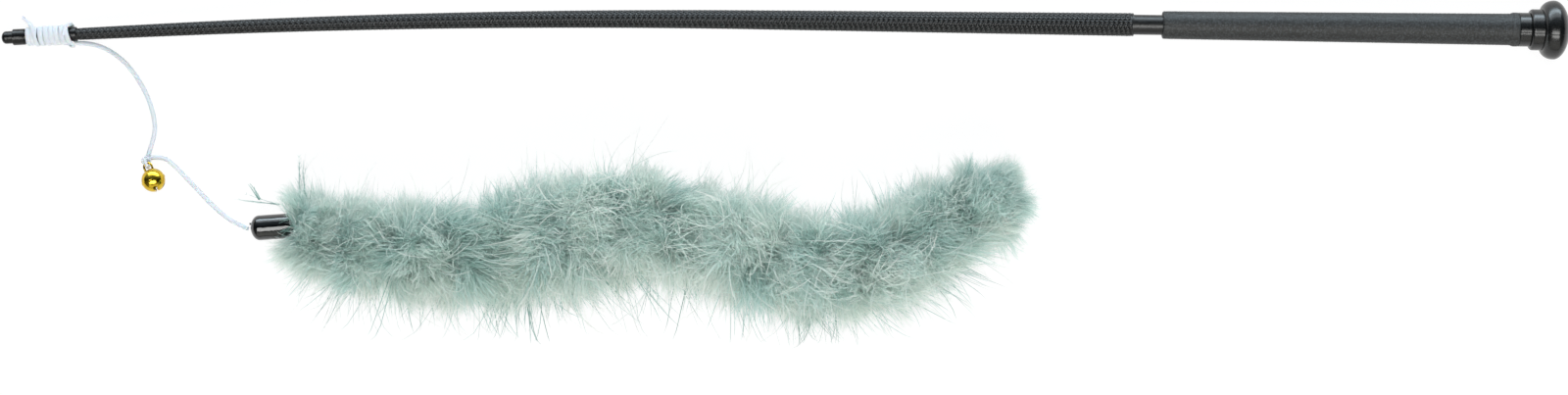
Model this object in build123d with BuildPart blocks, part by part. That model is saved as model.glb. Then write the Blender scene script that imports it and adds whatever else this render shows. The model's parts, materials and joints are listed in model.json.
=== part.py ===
from build123d import *
import math
import os

os.makedirs("parts", exist_ok=True)

# A cat teaser wand lying on a table, in millimetres, with +Z up. The handle lies along X
# with its pommel at +X. The cord leaves the thin end, and the lure lies on the -Y side.

# Lay of the wand
overall_length = 650.0  # along the rod, from the pommel's end to the tip
handle_axis_y = 55.9  # puts the middle of the part's box on the origin
tip_run_length = 60.0  # the straight stretch at the thin end
bend_length = 255.0  # along the arc, between the straight butt and the tip's run
bend_aside_offset = 10.45  # how far to -Y the bend carries the first turn of the winding
bend_steps = 6

# Core rod and braid
core_diameter = 8.3
core_tip_diameter = 3.4
bare_core_length = 12.0  # seen between the grip and the braid
braid_wall = 0.62
braid_end_radius = 0.4
bond_gap = 0.05  # glue line round the rod, on the radius

# Grip
grip_length = 147.0
grip_mouth_wall = 1.5
grip_butt_wall = 2.3
grip_mouth_radius = 0.9
lip_rise = 0.5  # the flared lip stands this far out from the grip
lip_length = 1.8
lip_slope_length = 2.0
lip_edge_radius = 0.3

# Ferrule between grip and pommel
ferrule_length = 4.8
ferrule_edge_radius = 0.35
spigot_wall = 1.5
spigot_length = 2.5
spigot_gap = 0.1

# Pommel
pommel_dome_length = 6.3  # from its end to its widest ring
pommel_back_length = 5.1  # from its widest ring to the collar
pommel_overhang = 3.7  # the head's rim beyond the collar, on the radius
collar_length = 4.8
collar_step = 1.5  # the collar beyond the ferrule, on the radius
collar_edge_radius = 1.2
pommel_end_wall = 6.0  # solid plastic beyond the core's end

# Tip cap and the sleeve shrunk over it
nose_length = 4.9  # seen beyond the sleeve
nose_round_length = 1.9
nose_end_wall = 2.9
cap_wall = 0.85
cap_skirt_length = 4.1  # inside the sleeve
sleeve_cap_wall = 0.7  # over the cap's skirt
sleeve_seat_wall = 0.25  # pressed thin under the winding
sleeve_band_wall = 0.5  # beside the winding
sleeve_lead_length = 5.0  # from the nose to the winding's seat
sleeve_band_length = 1.6
sleeve_edge_radius = 0.2

# Winding of stretched cord on the tip, with its hitch
wound_diameter = 1.4
winding_pitch = 2.2
winding_turns = 8.3333
winding_spans = 17  # about half a turn each
winding_first_angle = 30.0  # from straight up towards +Y
winding_gap = 0.04
seat_gap = 0.15
tail_length = 5.0
winding_run_out = 1.8
hitch_diameter = 2.7
hitch_sink = 0.55  # share of the hitch's radius between its flat and its middle

# Free cord, and the gaps that let its pieces swing
cord_diameter = 1.9
swing_gap = 0.25

# Route of the upper cord: x and y from where it leaves the hitch, z from the table
upper_route = [
    (4.5, 0.1, 1.8),
    (11.3, -2.1, 1.2),
    (18.8, -7.4, 1.0),
    (25.0, -15.3, 1.0),
    (29.7, -24.7, 1.0),
    (31.7, -33.5, 1.0),
    (31.3, -38.4, 1.1),
    (29.5, -44.4, 1.4),
]
knot_offset = (28.4, -48.4)  # the bell's knot, from where the cord leaves the hitch
knot_height = 2.25
knot_diameter = 3.9
upper_end_inset = 0.8  # how deep the upper cord sits in the knot

# Route of the lower cord: x and y from the middle of the bell's knot, z from the table
lower_first_heading = 33.0  # degrees from +X at which it leaves the knot
lower_first_height = 1.7
lower_route = [
    (6.6, 1.75, 1.1),
    (10.9, -1.4, 1.0),
    (17.65, -8.2, 1.0),
    (24.55, -15.4, 1.0),
    (31.35, -21.8, 1.3),
    (37.55, -25.7, 2.9),
]
lure_pivot_offset = (43.05, -27.8)  # where the lure swings, from the middle of the bell's knot

# Jingle bell
bell_diameter = 9.8
bell_wall = 0.45
bell_heading = -67.0  # degrees from +X, from its loop to its ball
seam_width = 0.9
seam_proud = 0.18
seam_gap = 0.03
loop_wire_diameter = 0.9
loop_radius = 1.6  # to the middle of the wire
loop_reach = 5.95  # from the ball's middle to the loop's middle
loop_leg_inside = 0.8
leg_hole_gap = 0.05
eye_cord_diameter = 1.2  # the eye of cord that goes through the loop
eye_to_knot = 2.9  # from the loop's middle to the knot's middle
slot_length = 7.4
slot_width = 1.0
slot_end_diameter = 1.8
slot_end_circle = 6.2
pellet_diameter = 2.8
pellet_gap = 0.15

# Lure: cap, stopper knot, string and plume
lure_heading = 4.8  # degrees from +X
lure_cap_diameter = 10.4
lure_cap_length = 17.0
lure_cap_wall = 0.9
lure_dome_length = 3.7
cord_hole_gap = 0.05
gate_nub_diameter = 0.9
gate_nub_height = 0.4
gate_nub_aside = 1.9
stopper_diameter = 4.2
stopper_depth = 5.2  # from the cap's nose to the middle of the knot
string_diameter = 2.0
string_gap = 0.1
string_clear_of_stopper = 0.3
string_short_of_end = 9.0
plume_neck_gap = 0.15
plume_neck_length = 6.0
plume_flatness = 0.64  # height over width
neck_flatness = 0.82
plume_lift = 0.4

# Middle of the plume from the cap's nose, x and y, then half its width
plume_route = [
    (35.9, -4.4, 17.5),
    (61.4, -9.2, 21.0),
    (84.6, -10.2, 22.0),
    (117.0, -5.4, 25.2),
    (149.3, 1.2, 24.8),
    (181.7, 0.8, 22.0),
    (206.4, -6.0, 24.0),
    (230.6, -12.6, 22.2),
    (254.4, -10.0, 23.4),
    (279.1, 0.8, 22.6),
    (307.0, 12.6, 19.2),
]
plume_end = (325.4, 17.4, 9.8)

# Sizes that follow from the driving dimensions
bore_radius = core_diameter / 2 + bond_gap
grip_butt_radius = bore_radius + grip_butt_wall
grip_mouth_outer = bore_radius + grip_mouth_wall
ferrule_radius = grip_butt_radius + lip_rise
spigot_radius = bore_radius + spigot_wall
collar_radius = ferrule_radius + collar_step
pommel_radius = collar_radius + pommel_overhang

# Stations along the handle, from the pommel's end
pommel_length = pommel_dome_length + pommel_back_length + collar_length
grip_start = pommel_length + ferrule_length
grip_end = grip_start + grip_length
core_start = pommel_end_wall + bond_gap
braid_start = grip_end + bare_core_length
bend_end = overall_length - tip_run_length
bend_start = bend_end - bend_length
core_end = overall_length - nose_end_wall - bond_gap
braid_end = overall_length - nose_length - cap_skirt_length - bond_gap


def core_diameter_at(distance: float) -> float:
    """The core is parallel inside the handle and tapers from the braid's start to the tip."""
    share = max(distance - braid_start, 0.0) / (core_end - braid_start)
    return core_diameter + share * (core_tip_diameter - core_diameter)


def braid_radius_at(distance: float) -> float:
    """The braid lies on the core all along."""
    return core_diameter_at(distance) / 2 + bond_gap + braid_wall


# The winding sits in a seat pressed into the sleeve, and rests on the table
sleeve_start = nose_length
seat_start = sleeve_start + sleeve_lead_length
seat_length = winding_turns * winding_pitch + wound_diameter + 2 * seat_gap
sleeve_end = seat_start + seat_length + sleeve_band_length
cap_radius = core_tip_diameter / 2 + bond_gap + cap_wall
sleeve_cap_radius = cap_radius + bond_gap + sleeve_cap_wall
braid_in_sleeve_radius = braid_radius_at(overall_length - sleeve_end)
seat_radius = braid_in_sleeve_radius + bond_gap + sleeve_seat_wall
band_radius = braid_in_sleeve_radius + bond_gap + sleeve_band_wall
winding_radius = seat_radius + winding_gap + wound_diameter / 2
winding_start = seat_start + seat_gap + wound_diameter / 2

# The bend lowers the thin end from the pommel's height to the winding's. The angle is small,
# so the offset is the angle times the distance from the middle of the arc.
axis_height = pommel_radius
first_turn = overall_length - winding_start
bend_drop = axis_height - winding_radius - wound_diameter / 2
bend_offset = math.hypot(bend_aside_offset, bend_drop)
bend_angle = bend_offset / (first_turn - bend_end + bend_length / 2)
bend_radius = bend_length / bend_angle
up = Vector(0, 0, 1)
to_tip = Vector(-1, 0, 0)
bend_direction = Vector(0, -bend_aside_offset, -bend_drop).normalized()
handle_end = Vector(overall_length / 2, handle_axis_y, axis_height)


def rod_turn(distance: float) -> float:
    """The angle in radians that the rod has turned at a distance from the pommel's end."""
    return min(max(distance - bend_start, 0.0), bend_length) / bend_radius


def rod_point(distance: float) -> Vector:
    """The middle of the rod at a distance from the pommel's end."""
    turn = rod_turn(distance)
    beyond = max(distance - bend_end, 0.0)
    forward = min(distance, bend_start) + bend_radius * math.sin(turn) + beyond * math.cos(turn)
    aside = bend_radius * (1 - math.cos(turn)) + beyond * math.sin(turn)
    return handle_end + to_tip * forward + bend_direction * aside


def rod_direction(distance: float) -> Vector:
    """The rod's direction towards the tip at a distance from the pommel's end."""
    turn = rod_turn(distance)
    return to_tip * math.cos(turn) + bend_direction * math.sin(turn)


def rod_plane(distance: float) -> Plane:
    """The plane square to the rod at a distance from the pommel's end."""
    direction = rod_direction(distance)
    return Plane(origin=rod_point(distance), x_dir=direction.cross(up), z_dir=direction)


def write(part: Part, name: str) -> None:
    """Label a finished piece and write its file."""
    part.label = name
    export_step(part, f"parts/{name}.step")


# Half profiles of the handle's pieces: x is the distance from the pommel's end, y the radius
handle_plane = Plane(origin=handle_end, x_dir=to_tip, z_dir=(0, 1, 0))
handle_axis = Axis(handle_end, to_tip)

# Half profiles of the tip's pieces: x is the distance from the tip, y the radius
tip_direction = rod_direction(overall_length)
tip_side = tip_direction.cross(up).normalized()
tip_plane = Plane(origin=rod_point(overall_length), x_dir=-tip_direction, z_dir=-tip_side)
tip_axis = Axis(tip_plane.origin, -tip_direction)

# Core rod
bend_stations = [bend_start + bend_length * step / bend_steps for step in range(bend_steps + 1)]
with BuildPart() as core_rod:
    for station in sorted([core_start, braid_start, *bend_stations, core_end]):
        with BuildSketch(rod_plane(station)):
            Circle(core_diameter_at(station) / 2)
    loft(ruled=True)
write(core_rod.part, "core_rod")

# Braid sleeve, a skin of even wall with a rounded cut edge at the grip
braid_stations = [braid_start, *[each for each in bend_stations if each > braid_start], braid_end]
with BuildPart() as braid_sleeve:
    for station in braid_stations:
        with BuildSketch(rod_plane(station)):
            Circle(braid_radius_at(station))
    loft(ruled=True)
    cut_edge = braid_sleeve.edges().filter_by(GeomType.CIRCLE).sort_by(Axis.X)[-1]
    fillet(cut_edge, radius=braid_end_radius)
    for station in braid_stations:
        with BuildSketch(rod_plane(station)):
            Circle(core_diameter_at(station) / 2 + bond_gap)
    loft(ruled=True, mode=Mode.SUBTRACT)
write(braid_sleeve.part, "braid_sleeve")

# Grip: a tapered sleeve with a rounded mouth and a flared lip against the ferrule
with BuildPart() as grip:
    with BuildSketch(handle_plane):
        with BuildLine():
            Polyline(
                (grip_start, bore_radius),
                (grip_start, ferrule_radius),
                (grip_start + lip_length, ferrule_radius),
                (grip_start + lip_length + lip_slope_length, grip_butt_radius),
                (grip_end, grip_mouth_outer),
                (grip_end, bore_radius),
                close=True,
            )
        make_face()
    revolve(axis=handle_axis)
    rims = grip.edges().filter_by(GeomType.CIRCLE)
    fillet(rims.group_by(Axis.X)[0].sort_by(SortBy.RADIUS)[-1], radius=grip_mouth_radius)
    fillet(rims.group_by(Axis.X)[-1].sort_by(SortBy.RADIUS)[-1], radius=lip_edge_radius)
write(grip.part, "grip")

# Ferrule: a collar whose spigot enters the pommel
with BuildPart() as grip_ferrule:
    with BuildSketch(handle_plane):
        with BuildLine():
            Polyline(
                (pommel_length - spigot_length, bore_radius),
                (pommel_length - spigot_length, spigot_radius),
                (pommel_length, spigot_radius),
                (pommel_length, ferrule_radius),
                (grip_start, ferrule_radius),
                (grip_start, bore_radius),
                close=True,
            )
        make_face()
    revolve(axis=handle_axis)
    outer_rims = grip_ferrule.edges().filter_by(GeomType.CIRCLE).sort_by(SortBy.RADIUS)[-2:]
    fillet(outer_rims, radius=ferrule_edge_radius)
write(grip_ferrule.part, "grip_ferrule")

# Pommel: a mushroom head and its collar, with a stepped socket for core and spigot
widest = pommel_dome_length
neck = widest + pommel_back_length
counterbore_floor = pommel_length - spigot_length - spigot_gap
with BuildPart() as pommel:
    with BuildSketch(handle_plane):
        with BuildLine():
            EllipticalCenterArc((widest, 0), widest, pommel_radius, 180, arc_size=-90)
            EllipticalCenterArc((widest, collar_radius), pommel_back_length, pommel_overhang, 90, arc_size=-90)
            Polyline(
                (neck, collar_radius),
                (pommel_length, collar_radius),
                (pommel_length, spigot_radius + spigot_gap),
                (counterbore_floor, spigot_radius + spigot_gap),
                (counterbore_floor, bore_radius),
                (pommel_end_wall, bore_radius),
                (pommel_end_wall, 0),
                (0, 0),
            )
        make_face()
    revolve(axis=handle_axis)
    front_rim = pommel.edges().filter_by(GeomType.CIRCLE).group_by(Axis.X)[0].sort_by(SortBy.RADIUS)[-1]
    fillet(front_rim, radius=collar_edge_radius)
write(pommel.part, "pommel")

# Tip cap: a closed round nose whose skirt sits on the core's end
cap_mouth = nose_length + cap_skirt_length
cap_bore_radius = core_tip_diameter / 2 + bond_gap
with BuildPart() as tip_cap:
    with BuildSketch(tip_plane):
        with BuildLine():
            EllipticalCenterArc((nose_round_length, 0), nose_round_length, cap_radius, 180, arc_size=-90)
            Polyline(
                (nose_round_length, cap_radius),
                (cap_mouth, cap_radius),
                (cap_mouth, core_diameter_at(overall_length - cap_mouth) / 2 + bond_gap),
                (nose_end_wall, cap_bore_radius),
                (nose_end_wall, 0),
                (0, 0),
            )
        make_face()
    revolve(axis=tip_axis)
write(tip_cap.part, "tip_cap")

# Tip sleeve: shrunk over the cap's skirt and the braid, drawn in where the winding sits
seat_end = seat_start + seat_length
with BuildPart() as tip_sleeve:
    with BuildSketch(tip_plane):
        with BuildLine():
            Polyline(
                (sleeve_start, cap_radius + bond_gap),
                (sleeve_start, sleeve_cap_radius),
                (seat_start, sleeve_cap_radius),
                (seat_start, seat_radius),
                (seat_end, seat_radius),
                (seat_end, band_radius),
                (sleeve_end, band_radius),
                (sleeve_end, braid_in_sleeve_radius + bond_gap),
                (cap_mouth, braid_radius_at(overall_length - cap_mouth) + bond_gap),
                (cap_mouth, cap_radius + bond_gap),
                close=True,
            )
        make_face()
    revolve(axis=tip_axis)
    proud_rims = [
        edge
        for edge in tip_sleeve.edges().filter_by(GeomType.CIRCLE)
        if edge.radius > seat_radius + sleeve_edge_radius / 2
    ]
    fillet(proud_rims, radius=sleeve_edge_radius)
write(tip_sleeve.part, "tip_sleeve")


def winding_point(turn: float) -> Vector:
    """The middle of the wound cord after some turns. It comes over the top and goes down on -Y."""
    angle = math.radians(winding_first_angle - 360 * turn)
    high = winding_radius * math.cos(angle)
    aside = winding_radius * math.sin(angle)
    return tip_plane.origin - tip_direction * (winding_start + winding_pitch * turn) \
        + tip_plane.y_dir * high + tip_side * aside


def winding_direction(turn: float) -> Vector:
    """The wound cord's direction after some turns."""
    angle = math.radians(winding_first_angle - 360 * turn)
    around = tip_plane.y_dir * math.sin(angle) - tip_side * math.cos(angle)
    return (around * (2 * math.pi * winding_radius) - tip_direction * winding_pitch).normalized()


def biarc(start: Vector, start_dir: Vector, end: Vector, end_dir: Vector) -> None:
    """Two tangent arcs from start to end that keep both directions."""
    chord = end - start
    both = start_dir + end_dir
    bent = 2 * (1 - start_dir.dot(end_dir))
    reach = (math.sqrt(chord.dot(both) ** 2 + bent * chord.dot(chord)) - chord.dot(both)) / bent
    near = start + start_dir * reach
    far = end - end_dir * reach
    middle = (near + far) / 2
    TangentArc(start, middle, tangent=start_dir)
    TangentArc(middle, end, tangent=far - near)


# Cord winding: one unbroken tube, from its cut tail through its turns to the hitch
tail_end = winding_point(0) - winding_direction(0) * tail_length
winding_exit_direction = winding_direction(winding_turns)
winding_exit = winding_point(winding_turns) + winding_exit_direction * winding_run_out
turns_at = [winding_turns * span / winding_spans for span in range(winding_spans + 1)]
with BuildPart() as cord_winding:
    with BuildLine() as winding_path:
        Line(tail_end, winding_point(0))
        for first, second in zip(turns_at, turns_at[1:]):
            biarc(
                winding_point(first),
                winding_direction(first),
                winding_point(second),
                winding_direction(second),
            )
        Line(winding_point(winding_turns), winding_exit)
    with BuildSketch(Plane(origin=tail_end, z_dir=winding_direction(0))):
        Circle(wound_diameter / 2)
    sweep()
write(cord_winding.part, "cord_winding")

# The least gap between turns, measured on points that lie more than half a turn apart
points_per_turn = 40
turn_points = [winding_point(step / points_per_turn) for step in range(int(winding_turns * points_per_turn))]
least_gap = min(
    (turn_points[i] - turn_points[j]).length
    for i in range(len(turn_points))
    for j in range(i + points_per_turn // 2, len(turn_points))
) - wound_diameter
print(f"winding: least gap to itself {least_gap:.2f} mm")

# Cord hitch: a small lump, cut flat where the winding's end meets it
hitch_middle = winding_exit + winding_exit_direction * (hitch_diameter / 2 * hitch_sink)
with BuildPart() as cord_hitch:
    with Locations(hitch_middle):
        Sphere(hitch_diameter / 2)
    split(bisect_by=Plane(origin=winding_exit, z_dir=winding_exit_direction), keep=Keep.TOP)
write(cord_hitch.part, "cord_hitch")


def route_radii(points: list[Vector]) -> list[float]:
    """The largest radius that each corner of a cord's route has room for."""
    radii = []
    for before, corner, after in zip(points, points[1:], points[2:]):
        turn = math.radians((corner - before).get_angle(after - corner))
        shorter = min((corner - before).length, (after - corner).length)
        radii.append(0.45 * shorter / math.tan(turn / 2))
    return radii


def report_cord(name: str, radii: list[float], path: Wire, tube: Part, end_volume: float) -> None:
    """Print a cord's radii, its length, and its volume beside that of a straight cord."""
    straight = math.pi * cord_diameter**2 / 4 * path.length + end_volume
    print(f"{name}: radii", [round(radius, 1) for radius in radii])
    print(f"{name}: {path.length:.1f} mm long, volume {tube.volume:.2f}, as a straight cord {straight:.2f}")


# Upper cord, from the hitch to the bell's knot, with a round end where it swings
cord_radius = cord_diameter / 2
half_ball = 2 / 3 * math.pi * cord_radius**3
swing_reach = hitch_diameter / 2 + swing_gap + cord_radius
upper_start = hitch_middle + Vector(1, 0, 0) * swing_reach
knot_middle = Vector(upper_start.X + knot_offset[0], upper_start.Y + knot_offset[1], knot_height)
upper_corners = [Vector(upper_start.X + x, upper_start.Y + y, z) for x, y, z in upper_route]
into_knot = Vector(knot_middle.X, knot_middle.Y, upper_corners[-1].Z) - upper_corners[-1]
upper_end = upper_corners[-1] + into_knot.normalized() * (into_knot.length - knot_diameter / 2 + upper_end_inset)
upper_points = [upper_start, *upper_corners, upper_end]
upper_radii = route_radii(upper_points)
with BuildPart() as cord_upper:
    with BuildLine() as upper_path:
        FilletPolyline(*upper_points, radius=upper_radii)
    with BuildSketch(Plane(origin=upper_path.line @ 0, z_dir=upper_path.line % 0)):
        Circle(cord_radius)
    sweep()
    with Locations(upper_start):
        Sphere(cord_radius)
report_cord("upper cord", upper_radii, upper_path.wire(), cord_upper.part, half_ball)
write(cord_upper.part, "cord_upper")

# Bell knot: a lump with an eye of cord, which stands upright through the bell's loop
bell_direction = Vector(math.cos(math.radians(bell_heading)), math.sin(math.radians(bell_heading)), 0)
bell_across = up.cross(bell_direction)
bell_height = bell_diameter / 2 + seam_proud
loop_middle = knot_middle + bell_direction * eye_to_knot + up * (bell_height - knot_height)
bell_middle = loop_middle + bell_direction * loop_reach
eye_plane = Plane(origin=loop_middle - bell_direction * loop_radius, x_dir=bell_direction, z_dir=bell_across)
with BuildPart() as bell_knot:
    with Locations(knot_middle):
        Sphere(knot_diameter / 2)
    with Locations(eye_plane):
        Torus(loop_radius, eye_cord_diameter / 2)
    add(cord_upper.part, mode=Mode.SUBTRACT)
write(bell_knot.part, "bell_knot")

# Lower cord, from the bell's knot to the lure's nose, round at the lure where it swings
leaving = Vector(1, 0, 0).rotate(Axis.Z, lower_first_heading) * (knot_diameter / 2 + swing_gap)
lower_start = Vector(knot_middle.X + leaving.X, knot_middle.Y + leaving.Y, lower_first_height)
lure_height = lure_cap_diameter / 2
lure_pivot = Vector(knot_middle.X + lure_pivot_offset[0], knot_middle.Y + lure_pivot_offset[1], lure_height)
lower_corners = [Vector(knot_middle.X + x, knot_middle.Y + y, z) for x, y, z in lower_route]
lower_points = [lower_start, *lower_corners, lure_pivot]
lower_radii = route_radii(lower_points)
with BuildPart() as cord_lower:
    with BuildLine() as lower_path:
        FilletPolyline(*lower_points, radius=lower_radii)
    with BuildSketch(Plane(origin=lower_path.line @ 0, z_dir=lower_path.line % 0)):
        Circle(cord_radius)
    sweep()
    with Locations(lure_pivot):
        Sphere(cord_radius)
report_cord("lower cord", lower_radii, lower_path.wire(), cord_lower.part, half_ball)
write(cord_lower.part, "cord_lower")

# Half profiles of the bell: x runs from the ball's middle towards the loop, y is the radius
bell_plane = Plane(origin=bell_middle, x_dir=-bell_direction, z_dir=bell_across)
bell_axis = Axis(bell_middle, -bell_direction)
bell_radius = bell_diameter / 2
bell_inner = bell_radius - bell_wall
seam_radius = bell_radius + seam_proud
seam_half = seam_width / 2
shell_at_seam = math.sqrt(bell_radius**2 - seam_half**2)
leg_hole_radius = loop_wire_diameter / 2 + leg_hole_gap

# Upper half shell: its seam folds over the lower half, and the loop's legs go through it
with BuildPart() as bell_top:
    with BuildSketch(bell_plane):
        with BuildLine():
            CenterArc((0, 0), bell_inner, 0, 90)
            Polyline(
                (0, bell_inner),
                (0, bell_radius + seam_gap),
                (-seam_half, bell_radius + seam_gap),
                (-seam_half, seam_radius),
                (seam_half, seam_radius),
                (seam_half, shell_at_seam),
            )
            outer_end = math.degrees(math.asin(shell_at_seam / bell_radius))
            CenterArc((0, 0), bell_radius, 0, outer_end)
            Line((bell_inner, 0), (bell_radius, 0))
        make_face()
    revolve(axis=bell_axis)
    with BuildSketch(Plane(origin=bell_middle, x_dir=bell_across, z_dir=-bell_direction)):
        with Locations((loop_radius, 0), (-loop_radius, 0)):
            Circle(leg_hole_radius)
    extrude(amount=bell_radius, mode=Mode.SUBTRACT)
write(bell_top.part, "bell_top")

# Lower half shell: two crossed slots that end in round holes
with BuildPart() as bell_bottom:
    with BuildSketch(bell_plane):
        with BuildLine():
            CenterArc((0, 0), bell_inner, 90, 90)
            Line((-bell_inner, 0), (-bell_radius, 0))
            CenterArc((0, 0), bell_radius, 90, 90)
            Line((0, bell_radius), (0, bell_inner))
        make_face()
    revolve(axis=bell_axis)
    with BuildSketch(Plane(origin=bell_middle, x_dir=bell_across, z_dir=bell_direction)):
        SlotOverall(slot_length, slot_width)
        SlotOverall(slot_length, slot_width, rotation=90)
        with PolarLocations(slot_end_circle / 2, 4):
            Circle(slot_end_diameter / 2)
    extrude(amount=bell_radius, mode=Mode.SUBTRACT)
write(bell_bottom.part, "bell_bottom")

# Bell loop: a level staple of wire whose legs stand in the upper shell
leg_start = math.sqrt(bell_inner**2 - loop_radius**2) - loop_leg_inside
with BuildPart() as bell_loop:
    with BuildLine(Plane(origin=bell_middle, x_dir=-bell_direction, z_dir=up)) as loop_path:
        Line((leg_start, -loop_radius), (loop_reach, -loop_radius))
        CenterArc((loop_reach, 0), loop_radius, -90, 180)
        Line((loop_reach, loop_radius), (leg_start, loop_radius))
    with BuildSketch(Plane(origin=loop_path.line @ 0, z_dir=loop_path.line % 0)):
        Circle(loop_wire_diameter / 2)
    sweep()
write(bell_loop.part, "bell_loop")

# Bell pellet: a loose ball at the bottom of the bell
pellet_drop = bell_inner - pellet_diameter / 2 - pellet_gap
with BuildPart() as bell_pellet:
    with Locations(bell_middle - up * pellet_drop):
        Sphere(pellet_diameter / 2)
write(bell_pellet.part, "bell_pellet")

# Half profiles of the lure's cap: x is the distance from its nose, y the radius
lure_direction = Vector(math.cos(math.radians(lure_heading)), math.sin(math.radians(lure_heading)), 0)
lure_across = up.cross(lure_direction)
lure_nose = lure_pivot + lure_direction * (cord_radius + swing_gap)
lure_plane = Plane(origin=lure_nose, x_dir=lure_direction, z_dir=-lure_across)
lure_axis = Axis(lure_nose, lure_direction)
lure_cap_radius = lure_cap_diameter / 2
lure_inner_radius = lure_cap_radius - lure_cap_wall
lure_inner_dome = lure_dome_length - lure_cap_wall
cord_hole_radius = cord_radius + cord_hole_gap

# Lure cap: a domed vinyl cap with a hole for the cord and the nub of its moulding gate
with BuildPart() as lure_cap:
    with BuildSketch(lure_plane):
        with BuildLine():
            EllipticalCenterArc((lure_dome_length, 0), lure_dome_length, lure_cap_radius, 180, arc_size=-90)
            Polyline(
                (lure_dome_length, lure_cap_radius),
                (lure_cap_length, lure_cap_radius),
                (lure_cap_length, lure_inner_radius),
                (lure_dome_length, lure_inner_radius),
            )
            EllipticalCenterArc((lure_dome_length, 0), lure_inner_dome, lure_inner_radius, 180, arc_size=-90)
            Line((lure_cap_wall, 0), (0, 0))
        make_face()
    revolve(axis=lure_axis)
    with BuildSketch(Plane(origin=lure_nose - lure_direction * gate_nub_height, x_dir=lure_across, z_dir=lure_direction)):
        with Locations((gate_nub_aside, 0)):
            Circle(gate_nub_diameter / 2)
    extrude(amount=gate_nub_height + lure_cap_wall)
    with BuildSketch(Plane(origin=lure_nose, x_dir=lure_across, z_dir=lure_direction)):
        Circle(cord_hole_radius)
    extrude(amount=lure_dome_length, mode=Mode.SUBTRACT)
write(lure_cap.part, "lure_cap")

# Stopper knot: the lump inside the cap on the end of the cord, whose neck fills the hole
with BuildPart() as stopper_knot:
    with BuildSketch(Plane(origin=lure_nose, x_dir=lure_across, z_dir=lure_direction)):
        Circle(cord_radius)
    extrude(amount=stopper_depth)
    with Locations(lure_nose + lure_direction * stopper_depth):
        Sphere(stopper_diameter / 2)
write(stopper_knot.part, "stopper_knot")

# Plume sections: each is an ellipse square to the plume's middle line, resting near the table
lure_mouth = lure_nose + lure_direction * lure_cap_length
plume_stations = [
    (Vector(lure_nose.X + x, lure_nose.Y + y, half_width * plume_flatness + plume_lift), half_width)
    for x, y, half_width in [*plume_route, plume_end]
]
plume_middles = [lure_mouth, *[middle for middle, _ in plume_stations]]
neck_radius = lure_inner_radius - plume_neck_gap

# Boa string: from behind the stopper knot along the plume's middle line
string_start = lure_nose + lure_direction * (stopper_depth + stopper_diameter / 2 + string_clear_of_stopper)
last_run = plume_middles[-1] - plume_middles[-2]
string_end = plume_middles[-1] - last_run.normalized() * string_short_of_end
string_points = [string_start, *plume_middles[:-1], string_end]
with BuildLine() as string_path:
    FilletPolyline(*string_points, radius=route_radii(string_points))
string_section = Plane(origin=string_path.line @ 0, z_dir=string_path.line % 0)
with BuildPart() as boa_string:
    with BuildSketch(string_section):
        Circle(string_diameter / 2)
    sweep(path=string_path.wire())
write(boa_string.part, "boa_string")

# Boa plume: a soft loft along the string, with a neck held in the cap
with BuildPart() as boa_plume:
    with BuildSketch(Plane(origin=lure_mouth, x_dir=lure_across, z_dir=lure_direction)):
        Ellipse(neck_radius, neck_radius * neck_flatness)
    for index, (middle, half_width) in enumerate(plume_stations):
        after = plume_middles[min(index + 2, len(plume_middles) - 1)]
        along = after - plume_middles[index]
        level = Vector(along.X, along.Y, 0).normalized()
        with BuildSketch(Plane(origin=middle, x_dir=up.cross(level), z_dir=level)):
            Ellipse(half_width, half_width * plume_flatness)
    loft()
    with BuildSketch(Plane(origin=lure_mouth, x_dir=lure_across, z_dir=-lure_direction)):
        Ellipse(neck_radius, neck_radius * neck_flatness)
    extrude(amount=plume_neck_length)
    with BuildSketch(string_section):
        Circle(string_diameter / 2 + string_gap)
    sweep(path=string_path.wire(), mode=Mode.SUBTRACT)
write(boa_plume.part, "boa_plume")

# Places that the joints and mounts use, in metres, and the direction of the bell's axis
for name, place in {
    "cord_swing": upper_start,
    "knot": knot_middle,
    "bell_swing": loop_middle,
    "pellet_roll": bell_middle,
    "lure_swing": lure_pivot,
    "collar_seat": handle_end + to_tip * (pommel_length + ferrule_length / 2),
    "bell_axis": bell_direction * 1000,
}.items():
    print(f"{name}: {place.X / 1000:.5f}, {place.Y / 1000:.5f}, {place.Z / 1000:.5f}")
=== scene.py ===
"""A cat teaser wand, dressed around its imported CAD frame, in metres with +Z up."""

from __future__ import annotations

import json
import logging
import math
from dataclasses import dataclass, field
from enum import Enum
from typing import Any

import bpy
import numpy as np
from mathutils import Matrix, Vector

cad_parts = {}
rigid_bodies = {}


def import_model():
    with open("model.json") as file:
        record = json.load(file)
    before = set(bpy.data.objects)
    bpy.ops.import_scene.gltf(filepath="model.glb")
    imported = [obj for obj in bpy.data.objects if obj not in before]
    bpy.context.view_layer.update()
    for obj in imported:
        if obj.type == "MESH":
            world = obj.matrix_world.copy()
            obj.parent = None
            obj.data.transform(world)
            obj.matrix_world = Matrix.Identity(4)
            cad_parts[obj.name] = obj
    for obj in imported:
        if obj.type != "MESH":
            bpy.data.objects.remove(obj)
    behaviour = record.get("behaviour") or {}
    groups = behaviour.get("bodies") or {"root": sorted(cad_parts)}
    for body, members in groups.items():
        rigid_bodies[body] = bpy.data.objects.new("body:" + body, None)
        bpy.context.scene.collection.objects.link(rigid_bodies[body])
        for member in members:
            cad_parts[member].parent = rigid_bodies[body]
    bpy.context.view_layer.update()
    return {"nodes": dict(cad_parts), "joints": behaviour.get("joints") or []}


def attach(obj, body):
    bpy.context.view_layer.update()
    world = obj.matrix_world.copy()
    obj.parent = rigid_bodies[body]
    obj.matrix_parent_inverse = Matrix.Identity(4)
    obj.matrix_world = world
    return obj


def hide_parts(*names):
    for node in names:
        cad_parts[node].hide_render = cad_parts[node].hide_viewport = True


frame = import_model()

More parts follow.
